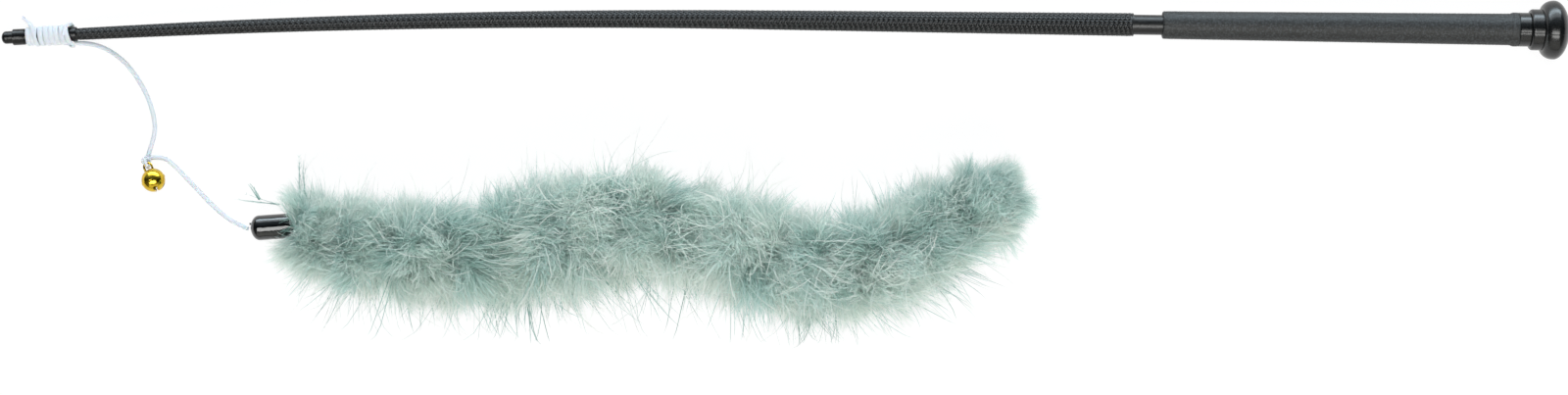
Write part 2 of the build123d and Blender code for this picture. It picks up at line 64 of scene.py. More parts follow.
LOG = logging.getLogger("teaser_wand")
MM = 0.001
FULL_TURN = 2 * math.pi
PHOTO_WIDTH = 1600
BAKE_MAP = "OFBake"  # the map that the down is baked through
CORD_MAP = "cord_map"  # along and round a cord, in millimetres
JOINT_AT = {joint["name"]: Vector(joint["pos_m"]) for joint in frame["joints"]}  # in metres


def linear(hex_colour: str) -> tuple[float, float, float, float]:
    """Turn an sRGB hex colour into linear RGBA.

    Args:
        hex_colour: Six hex digits after a hash.

    Returns:
        The linear colour, with full alpha.
    """
    parts = [int(hex_colour[i : i + 2], 16) / 255 for i in (1, 3, 5)]
    red, green, blue = (p / 12.92 if p <= 0.04045 else ((p + 0.055) / 1.055) ** 2.4 for p in parts)
    return red, green, blue, 1.0


def fill(tree: bpy.types.NodeTree, node: bpy.types.Node, inputs: dict) -> None:
    """Give a node its values and links.

    Args:
        tree: The node's tree.
        node: The node.
        inputs: Input name or number to a value, a node (its first output), an output or a NodeValue.
    """
    for key, value in inputs.items():
        value = getattr(value, "socket", value)
        if isinstance(value, bpy.types.Node):
            value = value.outputs[0]
        if isinstance(value, bpy.types.NodeSocket):
            tree.links.new(value, node.inputs[key])
        else:
            node.inputs[key].default_value = value


def add_node(
    tree: bpy.types.NodeTree, kind: str, inputs: dict | None = None, stops: tuple = (), **settings: Any
) -> bpy.types.Node:
    """Add a node with its settings, values and links.

    Args:
        tree: The tree that gets the node.
        kind: The node's type name.
        inputs: Values and links, as fill takes them.
        stops: Place from 0 to 1 and hex colour of each stop, for a colour ramp.
        settings: Properties of the node.

    Returns:
        The new node.
    """
    node = tree.nodes.new(kind)
    for name, value in settings.items():
        setattr(node, name, value)
    while stops and len(node.color_ramp.elements) < len(stops):
        node.color_ramp.elements.new(1.0)
    for number, (place, colour) in enumerate(stops):
        node.color_ramp.elements[number].position = place
        node.color_ramp.elements[number].color = linear(colour)
    fill(tree, node, inputs or {})
    return node


def mapped(value: Any, start: float, stop: float, low: float, high: float) -> dict:
    """Give the inputs with which a Map Range node turns start to stop into low to high."""
    return {"Value": value, "From Min": start, "From Max": stop, "To Min": low, "To Max": high}


def per_metre(size_mm: float) -> float:
    """Give the texture scale at which a pattern has a real size in millimetres."""
    return 1 / (size_mm * MM)


def grain(place: bpy.types.NodeSocket, size_mm: float, detail: float) -> dict:
    """Give the inputs with which a noise has grains of a real size in millimetres."""
    return {"Vector": place, "Scale": per_metre(size_mm), "Detail": detail}


def new_material(name: str) -> tuple[bpy.types.Material, bpy.types.NodeTree, bpy.types.Node]:
    """Make a node material with one Principled shader.

    Args:
        name: The material's name.

    Returns:
        The material, its tree and its shader.
    """
    material = bpy.data.materials.new(name)
    material.use_nodes = True
    tree = material.node_tree
    return material, tree, tree.nodes["Principled BSDF"]


@dataclass(frozen=True)
class MouldedGloss:
    """Moulded, shrunk or dipped plastic with a smooth face: a tight highlight, faint haze and scuffs."""

    name: str
    colour: str
    roughness: float
    haze_mm: float = 3.0
    scuff_mm: float = 0.35
    coat: float = 0.0
    shine: float = 0.5
    ripple_mm: float = 0.0
    seam_line: tuple[float, float, float] | None = None  # y and z of the seam's axis in mm, and its lean

    def build(self) -> bpy.types.Material:
        """Build the material."""
        material, tree, shader = new_material(self.name)
        place = add_node(tree, "ShaderNodeTexCoord").outputs["Object"]
        haze = add_node(tree, "ShaderNodeTexNoise", grain(place, self.haze_mm, 4))
        scuff = add_node(tree, "ShaderNodeTexNoise", grain(place, self.scuff_mm, 2))
        marks = add_node(tree, "ShaderNodeMath", {0: haze, 1: scuff}, operation="MULTIPLY")
        limits = (self.roughness * 0.75, self.roughness * 1.35)
        rough = add_node(tree, "ShaderNodeMapRange", mapped(marks, 0.1, 0.45, *limits))
        relief = {"Height": scuff, "Strength": 0.05, "Distance": 0.02 * MM}
        bump = add_node(tree, "ShaderNodeBump", relief)
        if self.ripple_mm:
            ripple = add_node(tree, "ShaderNodeTexNoise", grain(place, self.ripple_mm, 1))
            relief = {"Height": ripple, "Strength": 0.5, "Distance": 0.25 * MM, "Normal": bump}
            bump = add_node(tree, "ShaderNodeBump", relief)
        if self.seam_line:
            seam = self._seam(tree, place)
            relief = {"Height": seam, "Strength": 0.7, "Distance": 0.08 * MM, "Normal": bump}
            bump = add_node(tree, "ShaderNodeBump", relief)
        fill(tree, shader, {
            "Base Color": linear(self.colour), "IOR": 1.53, "Specular IOR Level": self.shine,
            "Coat Weight": self.coat, "Roughness": rough, "Normal": bump,
        })
        return material

    def _seam(self, tree: bpy.types.NodeTree, place: bpy.types.NodeSocket) -> bpy.types.Node:
        """Draw the mould's parting line, where a plane through the axis meets the face.

        Args:
            tree: The material's tree.
            place: Object coordinates.

        Returns:
            The line's height.
        """
        axis_y, axis_z, lean = self.seam_line
        middle = (0, -axis_y * MM, -axis_z * MM)
        centred = add_node(tree, "ShaderNodeMapping", {"Vector": place, "Location": middle})
        turned = add_node(tree, "ShaderNodeMapping", {"Vector": centred, "Rotation": (lean, 0, 0)})
        parts = add_node(tree, "ShaderNodeSeparateXYZ", {"Vector": turned})
        off = add_node(tree, "ShaderNodeMath", {0: parts.outputs["Y"]}, operation="ABSOLUTE")
        return add_node(tree, "ShaderNodeMapRange", mapped(off, 0.05 * MM, 0.22 * MM, 1.0, 0.0))


@dataclass(frozen=True)
class PebbledRubber:
    """Thermoplastic rubber from a spark-eroded mould: fine round pebbles, matte, with a soft painted
    highlight on the pebble crowns and painted shade between them.
    """

    name: str = "pebbled_grip_rubber"
    # painted shade in the gaps between pebbles (low) and painted highlight on their crowns (high), set by
    # the relief's height
    low: str = "#0E1010"
    high: str = "#3A3F42"
    pebble_mm: float = 0.75
    grit_mm: float = 0.35

    def build(self) -> bpy.types.Material:
        """Build the material."""
        material, tree, shader = new_material(self.name)
        place = add_node(tree, "ShaderNodeTexCoord").outputs["Object"]
        grit = add_node(tree, "ShaderNodeTexNoise", grain(place, self.grit_mm, 3))
        cells = {"Vector": place, "Scale": per_metre(self.pebble_mm), "Randomness": 1.0}
        pebble = add_node(tree, "ShaderNodeTexVoronoi", cells, feature="SMOOTH_F1").outputs["Distance"]
        height = add_node(tree, "ShaderNodeMath", {0: grit, 1: pebble}, operation="SUBTRACT")
        shades = ((0.0, self.low), (0.55, self.high))
        relief = {"Height": height, "Strength": 0.8, "Distance": 0.12 * MM}
        fill(tree, shader, {
            "Base Color": add_node(tree, "ShaderNodeValToRGB", {"Fac": height}, shades),
            "Roughness": add_node(tree, "ShaderNodeMapRange", mapped(grit, 0.3, 0.7, 0.46, 0.66)),
            "Normal": add_node(tree, "ShaderNodeBump", relief),
        })
        return material


@dataclass(frozen=True)
class BraidYarn:
    """Flat polyester yarn under clear dip: dark, with a silky highlight along each float."""

    name: str = "dipped_braid_yarn"
    dark: str = "#090A0B"
    light: str = "#15181A"
    fibre_mm: float = 0.14
    patch_mm: float = 2.4

    def build(self) -> bpy.types.Material:
        """Build the material."""
        material, tree, shader = new_material(self.name)
        place = add_node(tree, "ShaderNodeTexCoord").outputs["Object"]
        patch = add_node(tree, "ShaderNodeTexNoise", grain(place, self.patch_mm, 2))
        fibre = add_node(tree, "ShaderNodeTexNoise", grain(place, self.fibre_mm, 1))
        shades = ((0.3, self.dark), (0.72, self.light))
        relief = {"Height": fibre, "Strength": 0.25, "Distance": 0.03 * MM}
        fill(tree, shader, {
            "IOR": 1.52, "Specular IOR Level": 0.4,
            "Base Color": add_node(tree, "ShaderNodeValToRGB", {"Fac": patch}, shades),
            "Roughness": add_node(tree, "ShaderNodeMapRange", mapped(fibre, 0.3, 0.7, 0.26, 0.46)),
            "Normal": add_node(tree, "ShaderNodeBump", relief),
        })
        return material


class CordCoords(Enum):
    """What a cord's weave follows."""

    MAP = "the cord's own map"
    OBJECT = "object coordinates"


@dataclass(frozen=True)
class WovenElastic:
    """Round elastic with a braided polyester cover: bluish white and matte, a little light through it, with
    painted shade in the weave's valleys.
    """

    name: str
    coords: CordCoords
    # painted shade: the weave's valleys are coloured darker than its crowns
    painted_valley_shade: str = "#B7C2CF"
    crown: str = "#E6EBF1"
    thread_mm: float = 0.42
    lean: float = 0.8

    def build(self) -> bpy.types.Material:
        """Build the material."""
        material, tree, shader = new_material(self.name)
        if self.coords is CordCoords.MAP:
            place = add_node(tree, "ShaderNodeUVMap", uv_map=CORD_MAP)
            scale = 1 / self.thread_mm
        else:
            place = add_node(tree, "ShaderNodeTexCoord").outputs["Object"]
            scale = per_metre(self.thread_mm)
        waves = []
        for lean in (self.lean, -self.lean):
            turned = add_node(tree, "ShaderNodeMapping", {"Vector": place, "Rotation": (0, 0, lean)})
            threads = {"Vector": turned, "Scale": scale / FULL_TURN * 2, "Distortion": 0.6, "Detail": 1}
            waves.append(add_node(tree, "ShaderNodeTexWave", threads).outputs["Fac"])
        weave = add_node(tree, "ShaderNodeMath", {0: waves[0], 1: waves[1]}, operation="MAXIMUM")
        shades = ((0.1, self.painted_valley_shade), (0.8, self.crown))
        relief = {"Height": weave, "Strength": 0.35, "Distance": 0.06 * MM}
        fill(tree, shader, {
            "Roughness": 0.72, "Sheen Weight": 0.25, "Subsurface Weight": 0.2, "Subsurface Scale": 0.4 * MM,
            "Base Color": add_node(tree, "ShaderNodeValToRGB", {"Fac": weave}, shades),
            "Normal": add_node(tree, "ShaderNodeBump", relief),
        })
        return material


@dataclass(frozen=True)
class PlatedBrass:
    """Stamped brass with bright gold plating: mirror-like, with soft orange-peel and handling haze."""

    name: str = "bright_gold_plate"
    colour: str = "#E0BE3C"
    dull: str = "#BF9A26"
    peel_mm: float = 1.1
    haze_mm: float = 2.2

    def build(self) -> bpy.types.Material:
        """Build the material."""
        material, tree, shader = new_material(self.name)
        place = add_node(tree, "ShaderNodeTexCoord").outputs["Object"]
        haze = add_node(tree, "ShaderNodeTexNoise", grain(place, self.haze_mm, 5))
        peel = add_node(tree, "ShaderNodeTexNoise", grain(place, self.peel_mm, 1))
        shades = ((0.3, self.dull), (0.6, self.colour))
        relief = {"Height": peel, "Strength": 0.35, "Distance": 0.12 * MM}
        fill(tree, shader, {
            "Metallic": 1.0,
            "Base Color": add_node(tree, "ShaderNodeValToRGB", {"Fac": haze}, shades),
            "Roughness": add_node(tree, "ShaderNodeMapRange", mapped(haze, 0.35, 0.7, 0.1, 0.24)),
            "Normal": add_node(tree, "ShaderNodeBump", relief),
        })
        return material


@dataclass(frozen=True)
class MarabouDown:
    """Dyed turkey down: sage fibres that pass some light, paler at the tip and darkened towards the root as
    painted shade in the depth of the down.
    """

    name: str = "dyed_marabou_down"
    shades: tuple = (
        (0.0, "#86A59D"), (0.1, "#9DBBB3"), (0.16, "#B3D0CB"), (0.38, "#DDEFEB"),
        (0.65, "#EBF5F0"), (0.87, "#F3F8F3"), (1.0, "#FBFDFA"),
    )
    # painted shade: the fibres darken towards the root so that the depth of the down reads as shaded
    root: str = "#C2DAD8"
    tip: str = "#FFFFFF"
    see_through: float = 0.5

    def build(self) -> bpy.types.Material:
        """Build the material."""
        material, tree, shader = new_material(self.name)
        place = add_node(tree, "ShaderNodeUVMap", uv_map=BAKE_MAP)
        parts = add_node(tree, "ShaderNodeSeparateXYZ", {"Vector": place}).outputs
        shade = add_node(tree, "ShaderNodeValToRGB", {"Fac": parts["Y"]}, self.shades)
        # the root end is painted darker, as shade inside the down
        length = ((0.0, self.root), (0.75, self.tip))
        along = add_node(tree, "ShaderNodeValToRGB", {"Fac": parts["X"]}, length)
        colour = add_node(tree, "ShaderNodeMixRGB", {0: 1.0, 1: shade, 2: along}, blend_type="MULTIPLY")
        fill(tree, shader, {
            "Roughness": 0.7, "Specular IOR Level": 0.25, "Sheen Weight": 0.2, "Base Color": colour,
        })
        through = add_node(tree, "ShaderNodeBsdfTranslucent", {"Color": colour})
        both = add_node(tree, "ShaderNodeMixShader", {0: self.see_through, 1: shader, 2: through})
        fill(tree, tree.nodes["Material Output"], {"Surface": both})
        return material


@dataclass(frozen=True)
class StudioFloor:
    """Seamless white paper: pure white to the eye and in mirrors, with the object's soft shadow."""

    name: str = "white_sweep_paper"
    paper: str = "#F2F2F2"
    fleck: str = "#EEEEEE"
    glow: float = 1.06
    glow_share: float = 0.86
    fibre_mm: float = 2.0

    def build(self) -> bpy.types.Material:
        """Build the material."""
        material, tree, shader = new_material(self.name)
        place = add_node(tree, "ShaderNodeTexCoord").outputs["Object"]
        fibre = add_node(tree, "ShaderNodeTexNoise", grain(place, self.fibre_mm, 3))
        shades = ((0.3, self.fleck), (0.7, self.paper))
        fill(tree, shader, {
            "Roughness": 0.9, "Specular IOR Level": 0.1,
            "Base Color": add_node(tree, "ShaderNodeValToRGB", {"Fac": fibre}, shades),
        })
        path = add_node(tree, "ShaderNodeLightPath").outputs
        seen = path["Is Camera Ray"]
        for ray in ("Is Glossy Ray", "Is Transmission Ray"):
            seen = add_node(tree, "ShaderNodeMath", {0: seen, 1: path[ray]}, operation="MAXIMUM")
        share = add_node(tree, "ShaderNodeMath", {0: seen, 1: self.glow_share}, operation="MULTIPLY")
        white = add_node(tree, "ShaderNodeEmission", {"Strength": self.glow})
        both = add_node(tree, "ShaderNodeMixShader", {0: share, 1: shader, 2: white})
        fill(tree, tree.nodes["Material Output"], {"Surface": both})
        return material


def new_piece(name: str, mesh: bpy.types.Mesh) -> bpy.types.Object:
    """Link a mesh to the scene as a piece at the origin.

    Args:
        name: The piece's name.
        mesh: Its mesh, in the CAD frame.

    Returns:
        The new object.
    """
    mesh.name = name
    piece = bpy.data.objects.new(name, mesh)
    bpy.context.scene.collection.objects.link(piece)
    return piece


def mesh_from(name: str, points: Any, faces: list, places: list | None = None) -> bpy.types.Mesh:
    """Make a smooth-shaded mesh.

    Args:
        name: The mesh's name.
        points: Its points, in metres.
        faces: Corner numbers of each face.
        places: Each point's place on the map that the down is baked through, if it has one.

    Returns:
        The mesh.
    """
    mesh = bpy.data.meshes.new(name)
    mesh.from_pydata([tuple(p) for p in points], [], faces)
    mesh.shade_smooth()
    mesh.update()
    if places:
        layer = mesh.uv_layers.new(name=BAKE_MAP)
        for loop in mesh.loops:
            layer.data[loop.index].uv = places[loop.vertex_index]
    return mesh


def skin(rings: np.ndarray, ends: tuple = (), wrap: bool = False) -> tuple[np.ndarray, list]:
    """Join rings of points into a closed skin.

    Args:
        rings: Rings, points and coordinates, each ring counterclockwise about the way they run.
        ends: The points that close the first and the last ring, if any.
        wrap: Whether the last ring joins the first.

    Returns:
        The points and the faces, turned outwards.
    """
    count, size = rings.shape[:2]
    points = [tuple(p) for p in rings.reshape(-1, 3)] + [tuple(p) for p in ends]
    faces = []
    for row in range(count if wrap else count - 1):
        here, there = row * size, (row + 1) % count * size
        faces += [(here + j, here + (j + 1) % size, there + (j + 1) % size, there + j) for j in range(size)]
    if ends:
        start, last = count * size, (count - 1) * size
        faces += [(start, (j + 1) % size, j) for j in range(size)]
        faces += [(start + 1, last + j, last + (j + 1) % size) for j in range(size)]
    return np.array(points), faces


def declare(piece: bpy.types.Object, body: str, slot: str, *nodes: str) -> bpy.types.Object:
    """Say what a piece rides on and which CAD nodes it stands for.

    Args:
        piece: The finished piece.
        body: The CAD body it moves with.
        slot: The record's material slot; not used.
        nodes: The CAD nodes that it replaces.

    Returns:
        The piece.
    """
    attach(piece, body)
    if nodes:
        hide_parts(*nodes)
    LOG.info("%s rides on %s and stands for %s", piece.name, body, nodes or "nothing in the CAD")
    return piece


def dress(material: bpy.types.Material, *nodes: str) -> None:
    """Give CAD nodes their material.

    Args:
        material: What they are made of.
        nodes: The nodes' names.
    """
    for node in nodes:
        mesh = frame["nodes"][node].data
        mesh.materials.clear()
        mesh.materials.append(material)
        LOG.info("CAD node %s has %s", node, material.name)


@dataclass(frozen=True)
class NodeValue:
    """A value in a Geometry Nodes tree, which takes part in sums as a number or a vector does."""

    tree: bpy.types.NodeTree
    socket: bpy.types.NodeSocket

    def __getitem__(self, output: str | int) -> NodeValue:
        """Give another output of the same node."""
        return NodeValue(self.tree, self.socket.node.outputs[output])

    def math(self, operation: str, *others: Any) -> NodeValue:
        """Give what a math node makes of this value and others.

        Args:
            operation: The node's operation.
            others: The values that follow this one.

        Returns:
            The result.
        """
        kind = "ShaderNodeVectorMath" if self.socket.type == "VECTOR" else "ShaderNodeMath"
        inputs = {0: self, "Scale": others[0]} if operation == "SCALE" else dict(enumerate((self, *others)))
        node = add_node(self.tree, kind, inputs, operation=operation)
        return NodeValue(self.tree, node.outputs["Value" if operation == "DOT_PRODUCT" else 0])

    def __add__(self, other: Any) -> NodeValue:
        """Add a value."""
        return self.math("ADD", other)

    def __sub__(self, other: Any) -> NodeValue:
        """Take a value away."""
        return self.math("SUBTRACT", other)

    def __rsub__(self, other: float) -> NodeValue:
        """Take this value away from a number."""
        return self * -1.0 + other

    def __mul__(self, other: Any) -> NodeValue:
        """Multiply by a number."""
        return self.math("SCALE" if self.socket.type == "VECTOR" else "MULTIPLY", other)

    def __truediv__(self, other: Any) -> NodeValue:
        """Divide by a number."""
        return self.math("DIVIDE", other)

    def __mod__(self, other: Any) -> NodeValue:
        """Give what is left over after whole shares of a number."""
        return self.math("MODULO", other)

    def within(self, low: float, high: float) -> NodeValue:
        """Hold a number between two limits."""
        return self.math("MAXIMUM", low).math("MINIMUM", high)

    def ease(self, start: float, room: float) -> NodeValue:
        """Slow a number down past a start, so that it never gets further than the room beyond it."""
        past = ((self - start) / room).math("MAXIMUM", 0.0)
        return (1.0 - (past * -1.0).math("EXPONENT")) * room + (self - past * room)


@dataclass
class Recipe:
    """A Geometry Nodes tree under construction, with named inputs."""

    name: str
    wanted: dict[str, tuple[str, ...]]  # socket kind to the names of the inputs
    tree: bpy.types.NodeTree = field(init=False)
    given: bpy.types.Node = field(init=False)

    def __post_init__(self) -> None:
        """Start the tree with its inputs and its output."""
        self.tree = bpy.data.node_groups.new(self.name, "GeometryNodeTree")
        self.tree.interface.new_socket("Geometry", in_out="OUTPUT", socket_type="NodeSocketGeometry")
        for kind, names in {**self.wanted, "Material": ("Material",)}.items():
            for name in names:
                self.tree.interface.new_socket(name, in_out="INPUT", socket_type=f"NodeSocket{kind}")
        self.given = self.tree.nodes.new("NodeGroupInput")

    def __getitem__(self, name: str) -> NodeValue:
        """Give a named input."""
        return NodeValue(self.tree, self.given.outputs[name])

    def add(self, kind: str, inputs: dict | None = None, **settings: Any) -> NodeValue:
        """Add a node to the tree, as add_node does, and give its first output."""
        return NodeValue(self.tree, add_node(self.tree, kind, inputs, **settings).outputs[0])

    def close(self, geometry: NodeValue) -> None:
        """Realize the instances, set the material and link the output."""
        real = self.add("GeometryNodeRealizeInstances", {0: geometry})
        made = self.add("GeometryNodeSetMaterial", {"Geometry": real, "Material": self["Material"]})
        add_node(self.tree, "NodeGroupOutput", {0: made})

    def make(self, name: str, **values: Any) -> bpy.types.Object:
        """Run the tree once and keep its result as a plain mesh.

        Args:
            name: The piece's name.
            values: Input name, with underscores for spaces, to its value.

        Returns:
            The piece.
        """
        host = bpy.data.objects.new(f"{name}_host", bpy.data.meshes.new(f"{name}_host"))
        bpy.context.scene.collection.objects.link(host)
        modifier = host.modifiers.new("recipe", "NODES")
        modifier.node_group = self.tree
        for item in self.tree.interface.items_tree:
            key = item.name.replace(" ", "_")
            if item.in_out == "INPUT" and key in values:
                modifier[item.identifier] = values[key]
        graph = bpy.context.evaluated_depsgraph_get()
        mesh = bpy.data.meshes.new_from_object(host.evaluated_get(graph), depsgraph=graph)
        host.modifiers.clear()
        bpy.data.objects.remove(host)
        return new_piece(name, mesh)


def path_curve(
    name: str, points: list[Vector], radii: list[float] | None = None, steps: int = 8
) -> bpy.types.Object:
    """Make a smooth NURBS path through the control points, for a recipe to follow.

    Args:
        name: The path's name.
        points: Control points in metres.
        radii: Radius at each point, or None for 1.
        steps: Points between two control points.

    Returns:
        The curve object.
    """
    data = bpy.data.curves.new(name, "CURVE")
    data.dimensions = "3D"
    data.resolution_u = steps
    spline = data.splines.new("NURBS")
    spline.points.add(len(points) - 1)
    for number, point in enumerate(points):
        spline.points[number].co = (*point, 1.0)
        spline.points[number].radius = radii[number] if radii else 1.0
    spline.order_u = 3
    spline.use_endpoint_u = True
    path = bpy.data.objects.new(name, data)
    bpy.context.scene.collection.objects.link(path)
    return path


def laid(route: tuple, joint: str) -> list[Vector]:
    """Lay a route that starts from a joint.

    Args:
        route: X and Y from the joint and Z from the table, in millimetres.
        joint: The joint's name.

    Returns:
        The points in metres.
    """
    base = JOINT_AT[joint]
    return [Vector((base.x + x * MM, base.y + y * MM, z * MM)) for x, y, z in route]


def tube_recipe(sides: int = 14) -> Recipe:
    """Build the recipe for cord that follows a path, lies flat on what it is wound on and has its own map.

    Args:
        sides: Points round the cord.

    Returns:
        The recipe.
    """
    recipe = Recipe("cord_along_path", {
        "Object": ("Path",), "Float": ("Width", "Thickness"), "Vector": ("Axis Point", "Axis Direction"),
    })
    width, axis = recipe["Width"], recipe["Axis Direction"]
    source = recipe.add("GeometryNodeObjectInfo", {"Object": recipe["Path"]})["Geometry"]
    arm = recipe.add("GeometryNodeInputPosition") - recipe["Axis Point"]
    out = (arm - axis * arm.math("DOT_PRODUCT", axis)).math("NORMALIZE")
    lying = recipe.add("GeometryNodeSetCurveNormal", {"Curve": source, "Normal": out}, mode="FREE")
    ring = recipe.add("GeometryNodeCurvePrimitiveCircle", {"Resolution": sides, "Radius": 1.0})
    spot = recipe.add("ShaderNodeSeparateXYZ", {0: recipe.add("GeometryNodeInputPosition")})
    flat = {0: spot["X"] * (recipe["Thickness"] * 0.5), 1: spot["Y"] * (width * 0.5)}
    flat = recipe.add("ShaderNodeCombineXYZ", flat)
    profile = recipe.add("GeometryNodeSetPosition", {"Geometry": ring, "Position": flat})
    curves, shares = [], []
    for geometry, name, output in ((lying, "run", "Length"), (profile, "turn", "Factor")):
        value = recipe.add("GeometryNodeSplineParameter")[output]
        stored = {"Geometry": geometry, "Name": name, "Value": value}
        stored = recipe.add("GeometryNodeStoreNamedAttribute", stored, data_type="FLOAT", domain="POINT")
        curves.append(stored)
        shares.append(recipe.add("GeometryNodeInputNamedAttribute", {"Name": name}, data_type="FLOAT"))
    spread = {0: shares[0] * (1 / MM), 1: shares[1] * (width * (math.pi / MM))}
    spread = recipe.add("ShaderNodeCombineXYZ", spread)
    swept = {
        "Curve": curves[0], "Profile Curve": curves[1], "Scale": recipe.add("GeometryNodeInputRadius"),
        "Fill Caps": True,
    }
    stored = {"Geometry": recipe.add("GeometryNodeCurveToMesh", swept), "Name": CORD_MAP, "Value": spread}
    tube = recipe.add("GeometryNodeStoreNamedAttribute", stored, data_type="FLOAT2", domain="CORNER")
    recipe.close(recipe.add("GeometryNodeSetShadeSmooth", {"Geometry": tube}))
    return recipe


@dataclass
class RodLay:
    """Where the rod runs: a straight handle, a slight bend and a straight thin end. Sizes in millimetres."""

    length: float = 650.0
    handle_y: float = 55.9
    handle_z: float = 12.2
    tip_run: float = 60.0
    bend_length: float = 255.0
    bend_aside: float = 10.45
    first_turn: float = 639.25
    winding_outer: float = 4.26
    core_butt: float = 8.3
    core_tip: float = 3.4
    braid_start: float = 180.0
    core_end: float = 647.05
    braid_wall: float = 0.62
    bond_gap: float = 0.05

    def __post_init__(self) -> None:
        """Work out the bend as the CAD does."""
        drop = self.handle_z - self.winding_outer
        self.bend_end = self.length - self.tip_run
        self.bend_start = self.bend_end - self.bend_length
        reach = self.first_turn - self.bend_end + self.bend_length / 2
        self.bend_radius = self.bend_length * reach / math.hypot(self.bend_aside, drop)
        self.toward = Vector((0, -self.bend_aside, -drop)).normalized()
        self.end = Vector((self.length / 2, self.handle_y, self.handle_z))

    def turn(self, distance: float) -> float:
        """The angle that the rod has turned at a distance from the pommel's end."""
        return min(max(distance - self.bend_start, 0.0), self.bend_length) / self.bend_radius

    def point(self, distance: float) -> Vector:
        """The rod's middle at a distance from the pommel's end, in metres."""
        turn = self.turn(distance)
        beyond = max(distance - self.bend_end, 0.0)
        sine, cosine = math.sin(turn), math.cos(turn)
        forward = min(distance, self.bend_start) + self.bend_radius * sine + beyond * cosine
        aside = self.bend_radius * (1 - cosine) + beyond * sine
        return (self.end + Vector((-1, 0, 0)) * forward + self.toward * aside) * MM

    def direction(self, distance: float) -> Vector:
        """The rod's direction towards the tip at a distance from the pommel's end."""
        turn = self.turn(distance)
        return Vector((-1, 0, 0)) * math.cos(turn) + self.toward * math.sin(turn)

    def braid_radius(self, distance: float) -> float:
        """The braid's outer radius at a distance from the pommel's end, in millimetres."""
        share = max(distance - self.braid_start, 0.0) / (self.core_end - self.braid_start)
        core = (self.core_butt + share * (self.core_tip - self.core_butt)) / 2
        return core + self.bond_gap + self.braid_wall


@dataclass(frozen=True)
class SoftBox:
    """A soft box that faces the table: its place and size in metres, its watts and what it lights."""

    name: str
    place: tuple[float, float, float]
    size: tuple[float, float]
    power: float
    colour: tuple[float, float, float]
    on_matte: bool = True
    in_shine: bool = True

    def hang(self) -> None:
        """Hang the lamp."""
        light = bpy.data.lights.new(self.name, "AREA")
        light.shape = "RECTANGLE"
        light.size, light.size_y = self.size
        light.energy = self.power
        light.color = self.colour
        lamp = bpy.data.objects.new(self.name, light)
        lamp.location = self.place
        lamp.rotation_euler = Vector((0, -self.place[1], -self.place[2])).to_track_quat("-Z", "Y").to_euler()
        lamp.visible_diffuse = self.on_matte
        lamp.visible_glossy = self.in_shine
        bpy.context.scene.collection.objects.link(lamp)


@dataclass
class Studio:
    """The white table, the soft lights and the camera straight above."""

    camera_mm: tuple[float, float, float] = (1.5, -17.4, 1500.0)
    focal_px: float = 3671.4
    roll_deg: float = 0.733
    floor_size: float = 6.0
    walls: float = 0.55
    wall_shades: tuple = (  # from the dim warm near side past a dark ceiling to the bluish far side
        (0.0, "#A5A299"), (0.3, "#7C7B76"), (0.46, "#3A3D40"),
        (0.62, "#3A3D40"), (0.85, "#C4D2DC"), (1.0, "#DCE9F2"),
    )
    boxes: tuple[SoftBox, ...] = (
        SoftBox("key", (-0.1, 1.2, 0.5), (2.4, 0.8), 15.0, (0.88, 0.95, 1.0)),
        SoftBox("fill", (0.1, -1.25, 0.6), (2.4, 0.9), 5.0, (1.0, 0.985, 0.93)),
        SoftBox("near_sky", (0.1, -1.3, 1.2), (1.6, 0.8), 19.0, (1.0, 1.0, 0.965), in_shine=False),
        SoftBox("strip", (-0.12, -0.62, 1.7), (1.9, 0.85), 36.0, (1.0, 1.0, 0.98), on_matte=False),
        SoftBox("far_shine", (0.0, 1.3, 0.26), (2.6, 0.4), 21.0, (0.74, 0.9, 1.0), on_matte=False),
        SoftBox("ceiling", (0.0, 0.35, 2.2), (1.1, 0.9), 19.0, (0.97, 0.99, 1.0), in_shine=False),
    )

    def build(self) -> None:
        """Make the camera, the floor, the walls and the lights."""
        scene = bpy.context.scene
        scene.view_settings.view_transform = "Standard"
        lens = bpy.data.cameras.new("camera")
        lens.sensor_width = 36.0
        lens.lens = lens.sensor_width * self.focal_px / PHOTO_WIDTH
        lens.clip_start, lens.clip_end = 0.01, 20.0
        camera = bpy.data.objects.new("camera", lens)
        camera.location = Vector(self.camera_mm) * MM
        camera.rotation_euler = (0, 0, math.radians(self.roll_deg))
        scene.collection.objects.link(camera)
        scene.camera = camera
        half = self.floor_size / 2
        corners = [(-half, -half, 0), (half, -half, 0), (half, half, 0), (-half, half, 0)]
        floor = new_piece("white_floor", mesh_from("white_floor", corners, [(0, 1, 2, 3)]))
        floor.data.materials.append(StudioFloor().build())
        self._world()
        for box in self.boxes:
            box.hang()

    def _world(self) -> None:
        """Surround the table with walls of different brightness."""
        world = bpy.data.worlds.new("studio_walls")
        world.use_nodes = True
        tree = world.node_tree
        way = add_node(tree, "ShaderNodeTexCoord").outputs["Generated"]
        far = add_node(tree, "ShaderNodeSeparateXYZ", {0: way}).outputs["Y"]
        across = add_node(tree, "ShaderNodeMapRange", mapped(far, -1.0, 1.0, 0.0, 1.0))
        shades = add_node(tree, "ShaderNodeValToRGB", {"Fac": across}, self.wall_shades)
        fill(tree, tree.nodes["Background"], {"Color": shades, "Strength": self.walls})
        bpy.context.scene.world = world


